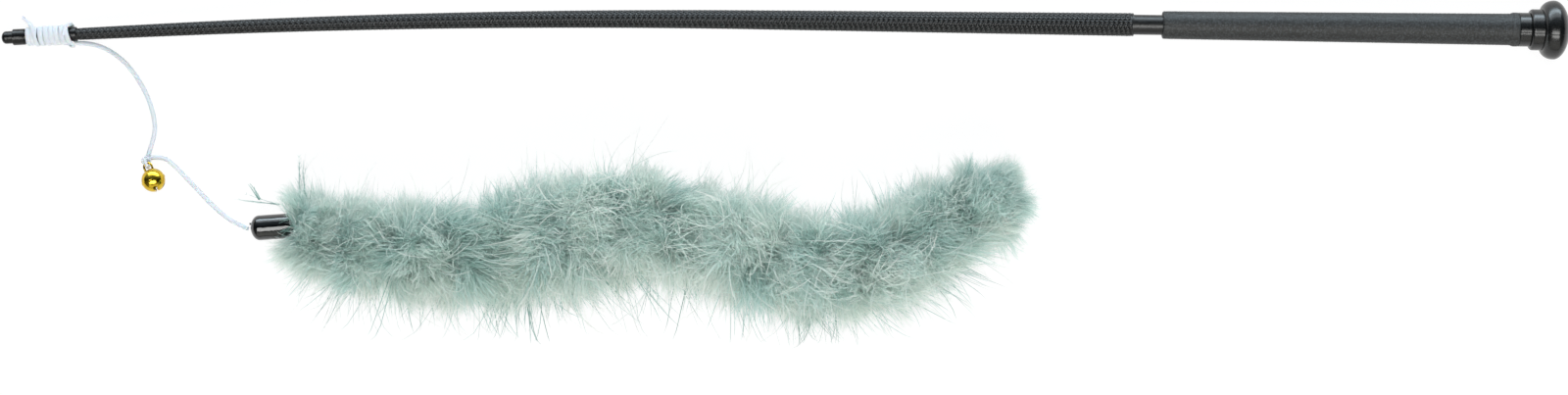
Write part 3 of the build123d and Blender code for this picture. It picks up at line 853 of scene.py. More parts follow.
@dataclass
class Handle:
    """The pommel, the ferrule and the pebbled grip."""

    lay: RodLay
    start: float = 21.0
    mouth: float = 168.0
    bore: float = 4.2
    lip_radius: float = 7.0
    neck_radius: float = 6.5
    mouth_radius: float = 5.7
    mean_radius: float = 6.1
    lip_length: float = 1.8
    lip_slope: float = 2.0
    rounding: float = 0.7
    step: float = 0.36
    sides: int = 112
    seed: int = 11
    pebble_low: float = 0.85
    pebble_high: float = 1.7
    pebble_depth: float = 0.05
    ridge_angle: float = -0.218
    ridge_height: float = 0.07
    ridge_width: float = 0.2

    def build(self) -> None:
        """Dress the moulded parts and make the grip."""
        seam = (self.lay.handle_y, self.lay.handle_z, self.ridge_angle)
        gloss = MouldedGloss("glossy_handle_plastic", "#0B0D0E", 0.25, seam_line=seam).build()
        dress(gloss, "pommel", "grip_ferrule")
        points, faces = skin(self._rings(), wrap=True)
        grip = new_piece("pebbled_grip", mesh_from("pebbled_grip", points * MM, faces))
        grip.data.materials.append(PebbledRubber().build())
        declare(grip, "wand", "grip", "grip")

    def _radius(self, distance: float) -> float:
        """The grip's radius at a distance from the pommel's end: a lip, a slope and a long taper."""
        slope_start = self.start + self.lip_length
        slope_end = slope_start + self.lip_slope
        share = min(max(distance - slope_start, 0.0) / self.lip_slope, 1.0)
        taper = max(distance - slope_end, 0.0) / (self.mouth - slope_end)
        radius = self.lip_radius + share * share * (3 - 2 * share) * (self.neck_radius - self.lip_radius)
        return radius + taper * (self.mouth_radius - self.neck_radius)

    def _profile(self) -> list[tuple[float, float, float]]:
        """The grip's outline as distance, radius and share of the pebbled face."""
        turns = np.linspace(0, math.pi / 2, 6)
        curve = [(self.rounding * (1 - math.cos(a)), self.rounding * (1 - math.sin(a))) for a in turns]
        outline = [(self.start, self.bore, 0.0)]
        outline += [(self.start + ds / 2, self.lip_radius - dr / 2, 0.0) for ds, dr in curve]
        for distance in np.arange(self.start + 1.0, self.mouth - self.rounding, self.step):
            share = min(1.0, (self.mouth - distance) / 3, (distance - self.start) / 2)
            outline.append((distance, self._radius(distance), share))
        outline += [(self.mouth - ds, self.mouth_radius - dr, 0.0) for ds, dr in reversed(curve)]
        return [*outline, (self.mouth, self.bore, 0.0)]

    def _rings(self) -> np.ndarray:
        """The grip's rings, with pebbles and the mould's parting ridge, in millimetres."""
        outline = np.array(self._profile())
        shape = (len(outline), self.sides)
        noise = np.fft.fft2(np.random.default_rng(self.seed).standard_normal(shape))
        along = np.fft.fftfreq(shape[0], self.step)[:, None]
        around = np.fft.fftfreq(shape[1], FULL_TURN * self.mean_radius / self.sides)[None, :]
        rate = np.hypot(along, around)
        pebbles = np.fft.ifft2(noise * ((rate > 1 / self.pebble_high) & (rate < 1 / self.pebble_low))).real
        pebbles = np.tanh(pebbles / pebbles.std()) * self.pebble_depth
        angles = np.linspace(0, FULL_TURN, self.sides, endpoint=False)
        off = np.abs(np.sin(angles - self.ridge_angle)) * self.mean_radius
        ridge = self.ridge_height * np.exp(-((off / self.ridge_width) ** 2)) * (off < 10 * self.ridge_width)
        radius = outline[:, 1:2] + (pebbles + ridge[None, :]) * outline[:, 2:3]
        rings = np.empty((*shape, 3))
        rings[..., 0] = self.lay.end.x - outline[:, 0:1]
        rings[..., 1] = self.lay.end.y + radius * np.sin(angles)
        rings[..., 2] = self.lay.end.z + radius * np.cos(angles)
        return rings


@dataclass
class Rod:
    """The bare core, the braid on it and the tip's cap and sleeve."""

    lay: RodLay
    rows: int = 20
    thick_pitch: float = 1.95
    thin_pitch: float = 2.5
    lean: float = 0.54
    braid_end: float = 640.9
    depth: float = 0.36
    under: float = 0.32
    rim_length: float = 0.7
    rim_sink: float = 0.06
    sleeve_at: float = 617.5
    sleeve_edge: float = 1.0
    pressed: float = 0.24
    stations: int = 64
    tube_sides: int = 18
    float_length: float = 0.66  # half a float over its pitch
    float_width: float = 1.0608  # a float over its share of the rod's girth

    def build(self) -> None:
        """Dress the plain parts and lay the braid."""
        dress(MouldedGloss("satin_rod_lacquer", "#0C0E0F", 0.34, haze_mm=1.4, shine=0.4).build(), "core_rod")
        satin = MouldedGloss("satin_tip_plastic", "#0A0B0D", 0.26, 1.2, 0.25, shine=0.3, ripple_mm=1.6)
        dress(satin.build(), "tip_cap", "tip_sleeve")
        lay, start, rim = self.lay, self.lay.braid_start, self.rim_length
        stops = [start, start + rim / 2, start + rim, start + rim * 1.3]
        stops += list(np.linspace(start + rim * 2, self.sleeve_at, self.stations))
        raised = self.under - self.rim_sink
        radii = [lay.braid_radius(s) + (raised if s <= start + rim else 0.0) for s in stops]
        stops += [self.sleeve_at + self.sleeve_edge, self.braid_end]
        radii += [lay.braid_radius(s) - self.pressed for s in stops[-2:]]
        path = path_curve("braid_path", [lay.point(s) for s in stops], [r * MM for r in radii], 3)
        yarn = self._float()
        count = int(2 * (self.braid_end - start) / (self.thick_pitch + self.thin_pitch)) - 1
        braid = self._recipe().make(
            "braided_skin", Path=path, Yarn=yarn, Rows=self.rows, Along=count, Pitch=self.thick_pitch * MM,
            Growth=(self.thin_pitch - self.thick_pitch) / count * MM, Lean=self.lean, Depth=self.depth * MM,
            Under=self.under * MM, Material=BraidYarn().build(),
        )
        bpy.data.objects.remove(path)
        bpy.data.objects.remove(yarn)
        declare(braid, "wand", "braid", "braid_sleeve")

    def _float(self) -> bpy.types.Object:
        """Make one float of flat yarn, with unit half length, half width and height."""
        stations = ((-0.84, 0.6, -0.55), (-0.33, 1.0, 0.0), (0.33, 1.0, 0.0), (0.84, 0.6, -0.55))
        arc = ((0.95, -0.6), (0.72, 0.5), (0, 1.0), (-0.72, 0.5), (-0.95, -0.6))
        rings = np.array([[(x, y * wide, z + drop) for y, z in arc] for x, wide, drop in stations])
        return new_piece("yarn_float", mesh_from("yarn_float", *skin(rings, ((-1, 0, -0.9), (1, 0, -0.9)))))

    def _recipe(self) -> Recipe:
        """Build the recipe that sets rows of floats round a tube along the path."""
        recipe = Recipe("braid_on_rod", {
            "Object": ("Path", "Yarn"), "Int": ("Rows", "Along"),
            "Float": ("Pitch", "Growth", "Lean", "Depth", "Under"),
        })
        rows = recipe["Rows"]
        path = recipe.add("GeometryNodeObjectInfo", {"Object": recipe["Path"]})["Geometry"]
        index = recipe.add("GeometryNodeInputIndex")
        row = index % rows
        pair = (row / 2.0).math("FLOOR") % 2.0
        steps = ((index + 0.5) / rows).math("FLOOR") + (pair * 0.5 + 0.75)
        grown = steps * recipe["Growth"]
        sample = recipe.add("GeometryNodeSampleCurve", {
            "Curves": path, "Value": recipe.add("GeometryNodeInputRadius"),
            "Length": steps * (grown * 0.5 + recipe["Pitch"]),
        }, mode="LENGTH", data_type="FLOAT", use_all_curves=True)
        radius, tangent = sample["Value"], sample["Tangent"]
        side = tangent.math("CROSS_PRODUCT", (0.0, 0.0, 1.0)).math("NORMALIZE")
        angle = (row + 0.5) / rows * FULL_TURN
        above = side.math("CROSS_PRODUCT", tangent)
        out = side * angle.math("COSINE") + above * angle.math("SINE")
        seat = sample["Position"] + out * (radius - recipe["Depth"])
        dots = recipe.add("GeometryNodePoints", {"Count": recipe["Along"] * rows})
        seats = recipe.add("GeometryNodeSetPosition", {"Geometry": dots, "Position": seat})
        lean = (row % 2.0 * 2.0 - 1.0) * recipe["Lean"]
        lying = tangent * lean.math("COSINE") + out.math("CROSS_PRODUCT", tangent) * lean.math("SINE")
        axes = {"primary_axis": "Z", "secondary_axis": "X"}
        turned = recipe.add("FunctionNodeAxesToRotation", {0: out, 1: lying}, **axes)
        size = recipe.add("ShaderNodeCombineXYZ", {
            0: (recipe["Pitch"] + grown) * self.float_length,
            1: radius * (math.pi * self.float_width) / rows,
            2: recipe["Depth"],
        })
        yarn = recipe.add("GeometryNodeObjectInfo", {"Object": recipe["Yarn"], "As Instance": True})
        floats = recipe.add("GeometryNodeInstanceOnPoints", {
            "Points": seats, "Instance": yarn["Geometry"], "Rotation": turned, "Scale": size,
        })
        thin = recipe.add("GeometryNodeInputRadius") - recipe["Under"]
        slim = recipe.add("GeometryNodeSetCurveRadius", {"Curve": path, "Radius": thin})
        ring = recipe.add("GeometryNodeCurvePrimitiveCircle", {"Resolution": self.tube_sides, "Radius": 1.0})
        swept = {
            "Curve": slim, "Profile Curve": ring, "Scale": recipe.add("GeometryNodeInputRadius"),
            "Fill Caps": True,
        }
        tube = recipe.add("GeometryNodeCurveToMesh", swept)
        smooth = recipe.add("GeometryNodeSetShadeSmooth", {"Geometry": tube})
        both = recipe.add("GeometryNodeJoinGeometry")
        for part in (floats, smooth):
            fill(recipe.tree, both.socket.node, {0: part})
        recipe.close(both)
        return recipe


@dataclass
class TipWinding:
    """The cord that is wound on the tip, its cut tail and the hitch that holds the free cord.

    Routes hold millimetres back from the tip's end, then to the side and above the axis, or degrees round it
    and the radius.
    """

    lay: RodLay
    width: float = 2.2
    thickness: float = 1.45
    round_size: float = 1.8
    tail: tuple = ((9.9, 7.7, 1.8), (10.4, 7.2, 1.8), (11.1, 6.5, 1.7), (11.9, 5.7, 1.7), (12.7, 4.8, 1.9))
    tail_sizes: tuple = (1.15, 1.1, 0.95, 0.9, 0.85)
    crossing: tuple = (
        (13.5, 38, 4.75), (14.3, 70, 4.65), (14.9, 110, 4.5), (15.3, 150, 4.3),
        (15.2, 190, 4.0), (14.2, 225, 3.6), (12.9, 265, 3.4), (11.6, 310, 3.35),
    )
    last_turn: tuple = (
        (27.5, 355, 3.8), (27.5, 390, 4.1), (27.7, 420, 4.2),
        (28.1, 450, 4.25), (28.6, 480, 4.25), (29.1, 510, 4.2),
    )
    tuck: tuple = (
        (29.9, -4.1, 1.5), (30.2, -4.9, 0.4), (29.4, -5.2, -0.6), (28.4, -4.6, -1.3), (27.9, -3.4, -2.2),
    )
    hitch: tuple = (
        (26.6, 95, 3.7), (27.1, 66, 4.2), (28.0, 40, 4.5), (29.0, 12, 4.5),
        (29.5, -20, 4.1), (29.7, -60, 3.7), (29.8, -100, 3.65), (30.3, -132, 3.6),
    )
    hitch_end: tuple = ((-1.1, 0.0, 2.72), (0.5, 0.0, 2.5))  # from the joint of the free cord
    seat: float = 3.36  # radius of the first turns' middle
    turn_step: float = 1 / 16
    thin_turns: float = 2.74
    thin_start: float = 10.95
    thin_pitch: float = 1.55
    thin_size: float = 0.8
    wobble: float = 0.25
    wobble_start: float = 0.8
    wobble_turns: float = 2.2
    thick_turns: float = 5.2
    thick_start: float = 15.75
    thick_pitch: float = 2.25
    thick_wobble: float = 0.12
    wobble_rate: float = 5.1
    thick_angle: float = 0.75
    thick_rise: float = 0.2
    grow_turns: float = 0.3
    flare_at: float = 4.8
    flare_turns: float = 0.2
    flare_back: float = 0.45
    flare_size: float = 0.32
    last_size: float = 0.86
    tuck_size: float = 0.74

    def __post_init__(self) -> None:
        """Set up the tip's own axes."""
        self.axis = self.lay.direction(self.lay.length)
        self.aside = (Vector((0, 1, 0)) - self.axis * self.axis.y).normalized()
        self.above = self.aside.cross(self.axis)

    def at(self, back: float, aside: float, above: float) -> Vector:
        """A place near the tip, in metres."""
        return self.lay.point(self.lay.length - back) + (self.aside * aside + self.above * above) * MM

    def ring(self, back: float, degrees: float, radius: float) -> Vector:
        """A place round the tip: 0 degrees is the far side, 90 the top."""
        angle = math.radians(degrees)
        return self.at(back, radius * math.cos(angle), radius * math.sin(angle))

    def build(self) -> None:
        """Wind the cord and tie the hitch."""
        finish = WovenElastic("wound_elastic_cord", CordCoords.MAP).build()
        recipe = tube_recipe()
        loose = [self.ring(*spot) for spot in self.hitch] + laid(self.hitch_end, "cord_swing")
        cords = (
            ("wound_cord", "cord_winding", *self._winding(), self.width, self.thickness),
            ("hitch_loop", "cord_hitch", loose, None, self.round_size, self.round_size),
        )
        for name, node, points, sizes, width, thickness in cords:
            path = path_curve(f"{name}_path", points, sizes)
            cord = recipe.make(
                name, Path=path, Width=width * MM, Thickness=thickness * MM, Axis_Point=self.at(0, 0, 0),
                Axis_Direction=self.axis, Material=finish,
            )
            bpy.data.objects.remove(path)
            declare(cord, "wand", "cord", node)

    def _winding(self) -> tuple[list[Vector], list[float]]:
        """The route of the wound cord from its cut tail to the last wrap, with its relative size."""
        route = [(self.at(*spot), size) for spot, size in zip(self.tail, self.tail_sizes)]
        route += [(self.ring(*spot), self.thin_size) for spot in self.crossing]
        for turn in np.arange(0.0, self.thin_turns, self.turn_step):
            back = self.thin_start + self.thin_pitch * turn
            if turn < self.wobble_turns:
                back += self.wobble * math.sin(turn * FULL_TURN + self.wobble_start)
            route.append((self.ring(back, turn * 360, self.seat), self.thin_size))
        for turn in np.arange(0.0, self.thick_turns, self.turn_step):
            grow = min(turn / self.grow_turns, 1.0)
            flare = math.exp(-(((turn - self.flare_at) / self.flare_turns) ** 2))
            back = self.thick_start + self.thick_pitch * turn + self.flare_back * flare
            back += self.thick_wobble * math.sin(turn * self.wobble_rate)
            spot = self.ring(back, 360 * (turn + self.thick_angle), self.seat + self.thick_rise * grow)
            route.append((spot, self.thin_size + (1.0 - self.thin_size) * grow + self.flare_size * flare))
        route += [(self.ring(*spot), self.last_size) for spot in self.last_turn]
        route += [(self.at(*spot), self.tuck_size) for spot in self.tuck]
        return [spot for spot, _ in route], [size for _, size in route]


@dataclass
class BellKnot:
    """The cord's knot and the eye that it makes through the bell's loop."""

    size: float = 1.5
    route: tuple = (
        (0.60, 2.39, 1.40), (0.00, 0.90, 1.55), (0.25, -0.60, 2.30), (0.70, -1.60, 3.50),
        (1.06, -2.48, 4.10), (1.18, -2.78, 5.08), (0.98, -2.32, 6.30), (0.51, -1.20, 6.80),
        (0.04, -0.08, 6.30), (-0.16, 0.40, 5.08), (0.10, 0.10, 4.00), (1.25, 0.30, 3.50),
        (0.40, 1.35, 3.40), (-1.15, 0.90, 3.20), (-1.50, -0.60, 3.00), (-0.30, -1.50, 2.75),
        (1.00, -1.15, 2.40), (1.25, 0.10, 2.10), (1.40, 0.95, 1.85), (2.20, 1.25, 1.66),
    )

    def build(self) -> bpy.types.Object:
        """Tie the knot and give its piece."""
        path = path_curve("knot_path", laid(self.route, "cord_fold"))
        knot = tube_recipe().make(
            "tied_knot", Path=path, Width=self.size * MM, Thickness=self.size * MM, Axis_Point=(0, 0, 0),
            Axis_Direction=(0, 0, 1), Material=WovenElastic("knotted_elastic_cord", CordCoords.MAP).build(),
        )
        bpy.data.objects.remove(path)
        return declare(knot, "upper_cord", "cord", "bell_knot")


@dataclass
class Bell:
    """The jingle bell: two gold-plated shells, their loop and the loose pellet."""

    shells: tuple = ("bell_top", "bell_bottom", "bell_loop")
    pellet: str = "bell_pellet"

    def build(self) -> list[bpy.types.Object]:
        """Dress the bell and give its parts."""
        dress(PlatedBrass().build(), *self.shells)
        dress(MouldedGloss("plain_steel_pellet", "#8A8D90", 0.3).build(), self.pellet)
        return [frame["nodes"][node] for node in (*self.shells, self.pellet)]


@dataclass
class FreeCord:
    """The two free lengths of elastic cord, whose routes repeat the CAD's, in millimetres."""

    diameter: float = 1.9
    upper_route: tuple = (
        (0.0, 0.0, 2.57), (4.5, 0.1, 1.8), (11.3, -2.1, 1.2), (18.8, -7.4, 1.0), (25.0, -15.3, 1.0),
        (29.7, -24.7, 1.0), (31.7, -33.5, 1.0), (31.3, -38.4, 1.1), (29.5, -44.4, 1.4),
        (28.705, -47.291, 1.4),
    )
    lower_route: tuple = (
        (1.845, 1.198, 1.7), (6.6, 1.75, 1.1), (10.9, -1.4, 1.0), (17.65, -8.2, 1.0),
        (24.55, -15.4, 1.0), (31.35, -21.8, 1.3), (37.55, -25.7, 2.9), (43.05, -27.8, 5.2),
    )
    upper_length: float = 64.0
    lower_length: float = 52.0

    def build(self, knot: bpy.types.Object, bell: list[bpy.types.Object]) -> None:
        """Args:
            knot: The knot at the end of the upper cord; not used.
            bell: The bell's parts, which hang on that knot; not used.
        """
        finish = WovenElastic("round_elastic_cord", CordCoords.OBJECT, "#D2DAE4", "#DEE5EC", 0.3).build()
        upper_points = laid(self.upper_route, "cord_swing")
        lower_points = laid(self.lower_route, "cord_fold")
        upper = self._lay("upper_cord_line", upper_points, finish)
        declare(upper, "upper_cord", "cord", "cord_upper")
        lower = self._lay("lower_cord_line", lower_points, finish)
        declare(lower, "lower_cord", "cord", "cord_lower")

    def _lay(self, name: str, points: list[Vector], finish: bpy.types.Material) -> bpy.types.Object:
        """Lay one cord as a smooth spline.

        Args:
            name: The piece's name.
            points: Its control points in metres.
            finish: Its material.

        Returns:
            The curve.
        """
        cord = path_curve(name, points, steps=12)
        cord.data.bevel_depth = self.diameter / 2 * MM
        cord.data.bevel_resolution = 5
        cord.data.use_fill_caps = True
        cord.data.materials.append(finish)
        return cord


@dataclass(frozen=True)
class TuftShape:
    """A tuft of barbs, some with barbules: shares of its length for sizes, radians for angles."""

    plain: int
    feathered: int
    spread: float
    curl: float
    short: float
    root_width: float
    sweep: float = 0.7
    segments: int = 4
    barbules: int = 8
    barbule_length: float = 0.17
    tip_width: float = 1.3
    barbule_angle: float = 0.65
    scatter: float = 0.02  # how far the roots stand apart
    crimp: float = 0.6  # how uneven the curl is
    first_barbule: float = 0.12
    barbule_run: float = 0.86
    barbule_width: float = 0.3
    barbule_taper: float = 0.45

    def grow(self, rng: np.random.Generator) -> tuple[list[Vector], list[tuple], list[tuple]]:
        """Grow one tuft along Z from the origin.

        Args:
            rng: The seeded source of its variety.

        Returns:
            Its points, its faces and each point's place on the map: root to tip, and across.
        """
        points, faces, places = [], [], []
        for number in range(self.plain + self.feathered):
            stations = self._shaft(rng)
            first = len(points)
            for step, (point, _, across) in enumerate(stations[:-1]):
                share = step / self.segments
                half = across * self.root_width * (1 + (self.tip_width - 1) * share) / 2
                points += [point - half, point + half]
                places += [(share * 0.9, 0.1), (share * 0.9, 0.9)]
            points.append(stations[-1][0])
            places.append((0.95, 0.5))
            faces += [(k, k + 1, k + 3, k + 2) for k in range(first, len(points) - 3, 2)]
            faces.append((len(points) - 3, len(points) - 2, len(points) - 1))
            if number < self.feathered:
                self._barbules(rng, stations, points, faces, places)
        return points, faces, places

    def _shaft(self, rng: np.random.Generator) -> list[tuple[Vector, Vector, Vector]]:
        """Grow one curved shaft.

        Args:
            rng: The seeded source of its variety.

        Returns:
            Its stations: place, direction and the ribbon's side.
        """
        azimuth, tilt = rng.uniform(0, FULL_TURN), self.spread * math.sqrt(rng.uniform())
        out = math.sin(tilt)
        way = Vector((out * math.cos(azimuth), out * math.sin(azimuth), math.cos(tilt)))
        across = way.orthogonal().normalized()
        across.rotate(Matrix.Rotation(rng.uniform(0, FULL_TURN), 3, way))
        hinge = across.copy()
        hinge.rotate(Matrix.Rotation(rng.uniform(0, FULL_TURN), 3, way))
        bend = self.curl / self.segments
        bends = rng.normal(0, bend, self.segments) * self.crimp + rng.normal(0, bend)
        step = rng.uniform(self.short, 1.0) / self.segments
        sweep = self.sweep * rng.uniform(0.5, 1.4) / self.segments
        point = Vector((rng.normal(0, self.scatter), rng.normal(0, self.scatter), 0))
        stations = [(point, way, across)]
        for bend in bends:
            point = point + way * step
            turn = Matrix.Rotation(sweep, 3, "Y") @ Matrix.Rotation(bend, 3, hinge)
            way, across = turn @ way, turn @ across
            stations.append((point, way, across))
        return stations

    def _barbules(
        self, rng: np.random.Generator, stations: list, points: list, faces: list, places: list
    ) -> None:
        """Add the fine barbules on both sides of a shaft.

        Args:
            rng: The seeded source of their variety.
            stations: The shaft's stations.
            points: The tuft's points, which grow.
            faces: The tuft's faces, which grow.
            places: The points' places on the map, which grow.
        """
        for number in range(self.barbules):
            place = (number + rng.uniform(0, 0.9)) / self.barbules
            share = self.first_barbule + self.barbule_run * place
            index = min(int(share * self.segments), self.segments - 1)
            (start, way, across), (stop, _, _) = stations[index], stations[index + 1]
            root = start.lerp(stop, share * self.segments - index)
            side = across.copy()
            side.rotate(Matrix.Rotation(rng.uniform(-0.9, 0.9), 3, way))
            for sign in (-1, 1):
                angle = self.barbule_angle * rng.uniform(0.6, 1.3)
                out = way * math.cos(angle) + side * sign * math.sin(angle)
                reach = self.barbule_length * rng.uniform(0.6, 1.2) * (1 - self.barbule_taper * share)
                half = way * self.root_width * self.barbule_width
                first = len(points)
                points += [root - half, root + half, root + out * reach]
                places += [(share * 0.8, 0.1), (share * 0.8, 0.9), (min(share * 0.8 + 0.3, 1.0), 0.5)]
                faces.append((first, first + 1, first + 2))


class TuftKind(Enum):
    """The kinds of tuft in the boa, each with its shape and the seed of its variety."""

    FULL = (TuftShape(4, 3, 0.3, 0.45, 0.68, 0.0112), 3)
    WISP = (TuftShape(2, 1, 0.22, 0.5, 0.6, 0.0085, 0.9, 5, 6, 0.1, 0.45), 5)
    PLUME = (TuftShape(9, 4, 0.36, 0.3, 0.62, 0.0092, 0.9, 5, 7, 0.1), 7)
    THREAD = (TuftShape(2, 0, 0.35, 0.6, 0.6, 0.0125, 1.1, 8, tip_width=0.5), 9)
    HAIR = (TuftShape(2, 0, 0.26, 0.45, 0.5, 0.0092, 0.6, 6, tip_width=0.35), 11)


@dataclass(frozen=True)
class DownLayer:
    """One layer of the boa's down: how many tufts, where round the string, how long and how pale."""

    name: str
    count: int
    seed: int
    angles: tuple[float, float]
    lengths: tuple[float, float]
    lean: float
    shades: tuple[float, float]
    kind: TuftKind = TuftKind.FULL
    roots: tuple[float, float] = (0.02, 0.32)


@dataclass
class DownPlanting:
    """How tufts are planted round the string, in locks that lean together.

    A span holds where on the string something starts and ends, as shares of it, and its value there.
    """

    variety: int  # tufts to pick from
    cells_along: float = 44.0
    cells_round: float = 9.0
    cell_stride: float = 40.0  # sets the numbers of the locks apart
    cell_offset: float = 10.0
    gather: float = 0.32  # how far a tuft moves to the middle of its lock
    sway: float = 0.2  # how far a lock turns round the string
    loft: float = 0.78  # height of the down over its width
    back_span: tuple = (0.0, 0.055, -0.7, 0.0)  # tufts at the cap lean back over it, but not those on top
    back_top: float = 1.6
    ahead_span: tuple = (0.0, 0.07, 0.8, 0.0)  # tufts on top of the cap's end lean away from it
    end_span: tuple = (0.9, 1.0, 0.0, 0.8)  # tufts at the free end lean on past it
    drift_span: tuple = (0.12, 0.45, -0.05, 0.5)
    freedom_span: tuple = (0.0, 0.06, 0.1, 1.0)
    top_freedom: float = 0.75
    flow: tuple = (13.0, 0.9, 3.7)  # the combing pattern's rate along and round the string, and its slice
    comb: float = 3.6
    lock_stray: float = 0.5
    tuft_stray: float = 0.3
    most_lean: float = 1.2
    top_root: float = 1.2  # how much further out the roots on top sit
    crossing: float = 0.34
    pale_lock: tuple = (0.15, 0.85)
    pale_tuft: float = 0.2
    # painted light: the flanks, the near one most, are shaded paler where light falls on and through the
    # thin fringe, while the top keeps its own tone
    near_pale: float = -0.26
    far_pale: float = 0.14
    painted_light_cutoff: float = 0.3  # a layer whose palest shade is below this isn't paler on its sides
    roll: float = 0.7
    trim_spans: tuple = ((0.0, 0.08, 1.1, 2.2), (0.8, 0.94, 2.2, 1.05))
    fullness: tuple = (-0.09, 1.07)  # more length on the near side, and over all
    lock_length: tuple = (0.75, 1.19)
    table: tuple = (6.0 * MM, -6.0 * MM)  # where the down starts to yield, and how far it still goes
    ceiling: tuple = (34.0 * MM, 8.0 * MM)
    near_edge: tuple = (-71.0 * MM, -10.0 * MM)
    bands: float = 32.0  # rows of shades on the map
    recipe: Recipe = field(init=False)

    def build(self) -> Recipe:
        """Build the recipe, with inputs for the path, the tufts and a layer's own values."""
        self.recipe = Recipe("down_round_string", {
            "Object": ("Path",), "Collection": ("Tufts",), "Int": ("Count", "Seed"),
            "Float": ("From Angle", "To Angle", "Short", "Long", "Root From", "Root To", "Lean",
                      "Pale From", "Pale To"),
        })
        self._spread()
        roots = self.recipe.add("GeometryNodeMeshLine", {"Count": self.recipe["Count"]})
        planted = self.recipe.add("GeometryNodeSetPosition", {"Geometry": roots, "Position": self._seat()})
        pale = {"Geometry": planted, "Name": "pale", "Value": self._pale()}
        pale = self.recipe.add("GeometryNodeStoreNamedAttribute", pale, data_type="FLOAT", domain="POINT")
        self.recipe.close(self._mapped(self._settled(self._tufted(pale))))
        return self.recipe

    def _chance(self, low: Any, high: Any, salt: int, shared: bool = False) -> NodeValue:
        """Give a random number for each tuft, or one that a whole lock shares.

        Args:
            low: The least value.
            high: The greatest value.
            salt: What sets this draw apart from others.
            shared: Whether a lock shares it.

        Returns:
            The number.
        """
        drawn = {7: self.cell, 8: salt} if shared else {8: self.recipe["Seed"] + float(salt)}
        return self.recipe.add("FunctionNodeRandomValue", {2: low, 3: high, **drawn}, data_type="FLOAT")[1]

    def _span(self, span: tuple) -> NodeValue:
        """Give a number that changes over a span of the string."""
        return self.recipe.add("ShaderNodeMapRange", mapped(self.run, *span))

    def _spread(self) -> None:
        """Work out where each tuft stands: its lock, its place on the string and the directions there."""
        recipe, turn = self.recipe, FULL_TURN / self.cells_round
        free_run = self._chance(0.0, 1.0, 1)
        arc = recipe["To Angle"] - recipe["From Angle"]
        free_angle = self._chance(0.0, 1.0, 2) * arc + recipe["From Angle"]
        cell_run = (free_run * self.cells_along).math("FLOOR")
        cell_turn = (free_angle * (1 / turn)).math("FLOOR")
        self.cell = cell_run * self.cell_stride + (cell_turn + self.cell_offset)
        self.run = ((cell_run + 0.5) / self.cells_along - free_run) * self.gather + free_run
        angle = ((cell_turn + 0.5) * turn - free_angle) * self.gather + free_angle
        angle = angle + self._chance(-self.sway, self.sway, 21, shared=True)
        sample = recipe.add("GeometryNodeSampleCurve", {
            "Curves": recipe.add("GeometryNodeObjectInfo", {"Object": recipe["Path"]})["Geometry"],
            "Value": recipe.add("GeometryNodeInputRadius"), "Factor": self.run,
        }, mode="FACTOR", data_type="FLOAT", use_all_curves=True)
        self.radius, self.point, self.tangent = sample["Value"], sample["Position"], sample["Tangent"]
        self.side = self.tangent.math("CROSS_PRODUCT", (0.0, 0.0, -1.0)).math("NORMALIZE")
        self.facing = angle.math("COSINE")
        rise = angle.math("SINE")
        self.out = self.side * self.facing + recipe.add("ShaderNodeCombineXYZ", {2: rise * self.loft})
        self.up = rise.math("MAXIMUM", 0.0)
        self.top = self.up.math("POWER", 2.0)
        along, around, slice_at = self.flow
        pattern = {0: self.run * along, 1: angle * around, 2: slice_at}
        self.pattern = recipe.add("ShaderNodeCombineXYZ", pattern)

    def _lean(self) -> NodeValue:
        """Give how far each tuft leans along the string.

        Returns:
            The angle in radians, towards the free end.
        """
        flow = self.recipe.add("ShaderNodeTexNoise", {"Vector": self.pattern, "Scale": 1.0, "Detail": 1.0})
        stray = self._chance(-self.lock_stray, self.lock_stray, 22, shared=True)
        stray = stray + self._chance(-self.tuft_stray, self.tuft_stray, 3)
        freedom = (self.top * self.top_freedom + self.recipe["Lean"]) * self._span(self.freedom_span)
        low_down = 1.0 - (self.up * self.back_top).math("MINIMUM", 1.0)
        led = self._span(self.back_span) * low_down + self._span(self.end_span)
        led = led + self._span(self.ahead_span) * self.top + self._span(self.drift_span)
        lean = ((flow - 0.5) * self.comb + stray) * freedom + led
        return lean.within(-self.most_lean, self.most_lean)

    def _seat(self) -> NodeValue:
        """Give where each tuft's root is."""
        depth = self._chance(self.recipe["Root From"], self.recipe["Root To"], 8)
        depth = depth * (self.top * self.top_root + 1.0)
        aside = self._chance(-self.crossing, self.crossing, 9) * self.top * self.radius
        return self.point + self.out * (self.radius * depth) + self.side * aside

    def _pale(self) -> NodeValue:
        """Give how pale each tuft is: its own tone, drawn by lock and by tuft, with painted light added on
        the flanks.
        """
        palest, darkest = self.recipe["Pale To"], self.recipe["Pale From"]
        share = self._chance(-1.0, 1.0, 4) * self.pale_tuft + self._chance(*self.pale_lock, 23, shared=True)
        # painted light on the flanks, set by which way the tuft faces
        painted_flank_light = (self.facing * self.near_pale).math("MAXIMUM", self.facing * self.far_pale)
        pale = share * (palest - darkest) + darkest + painted_flank_light * palest.math("GREATER_THAN", self.painted_light_cutoff)
        return pale.within(0.0, 0.99)

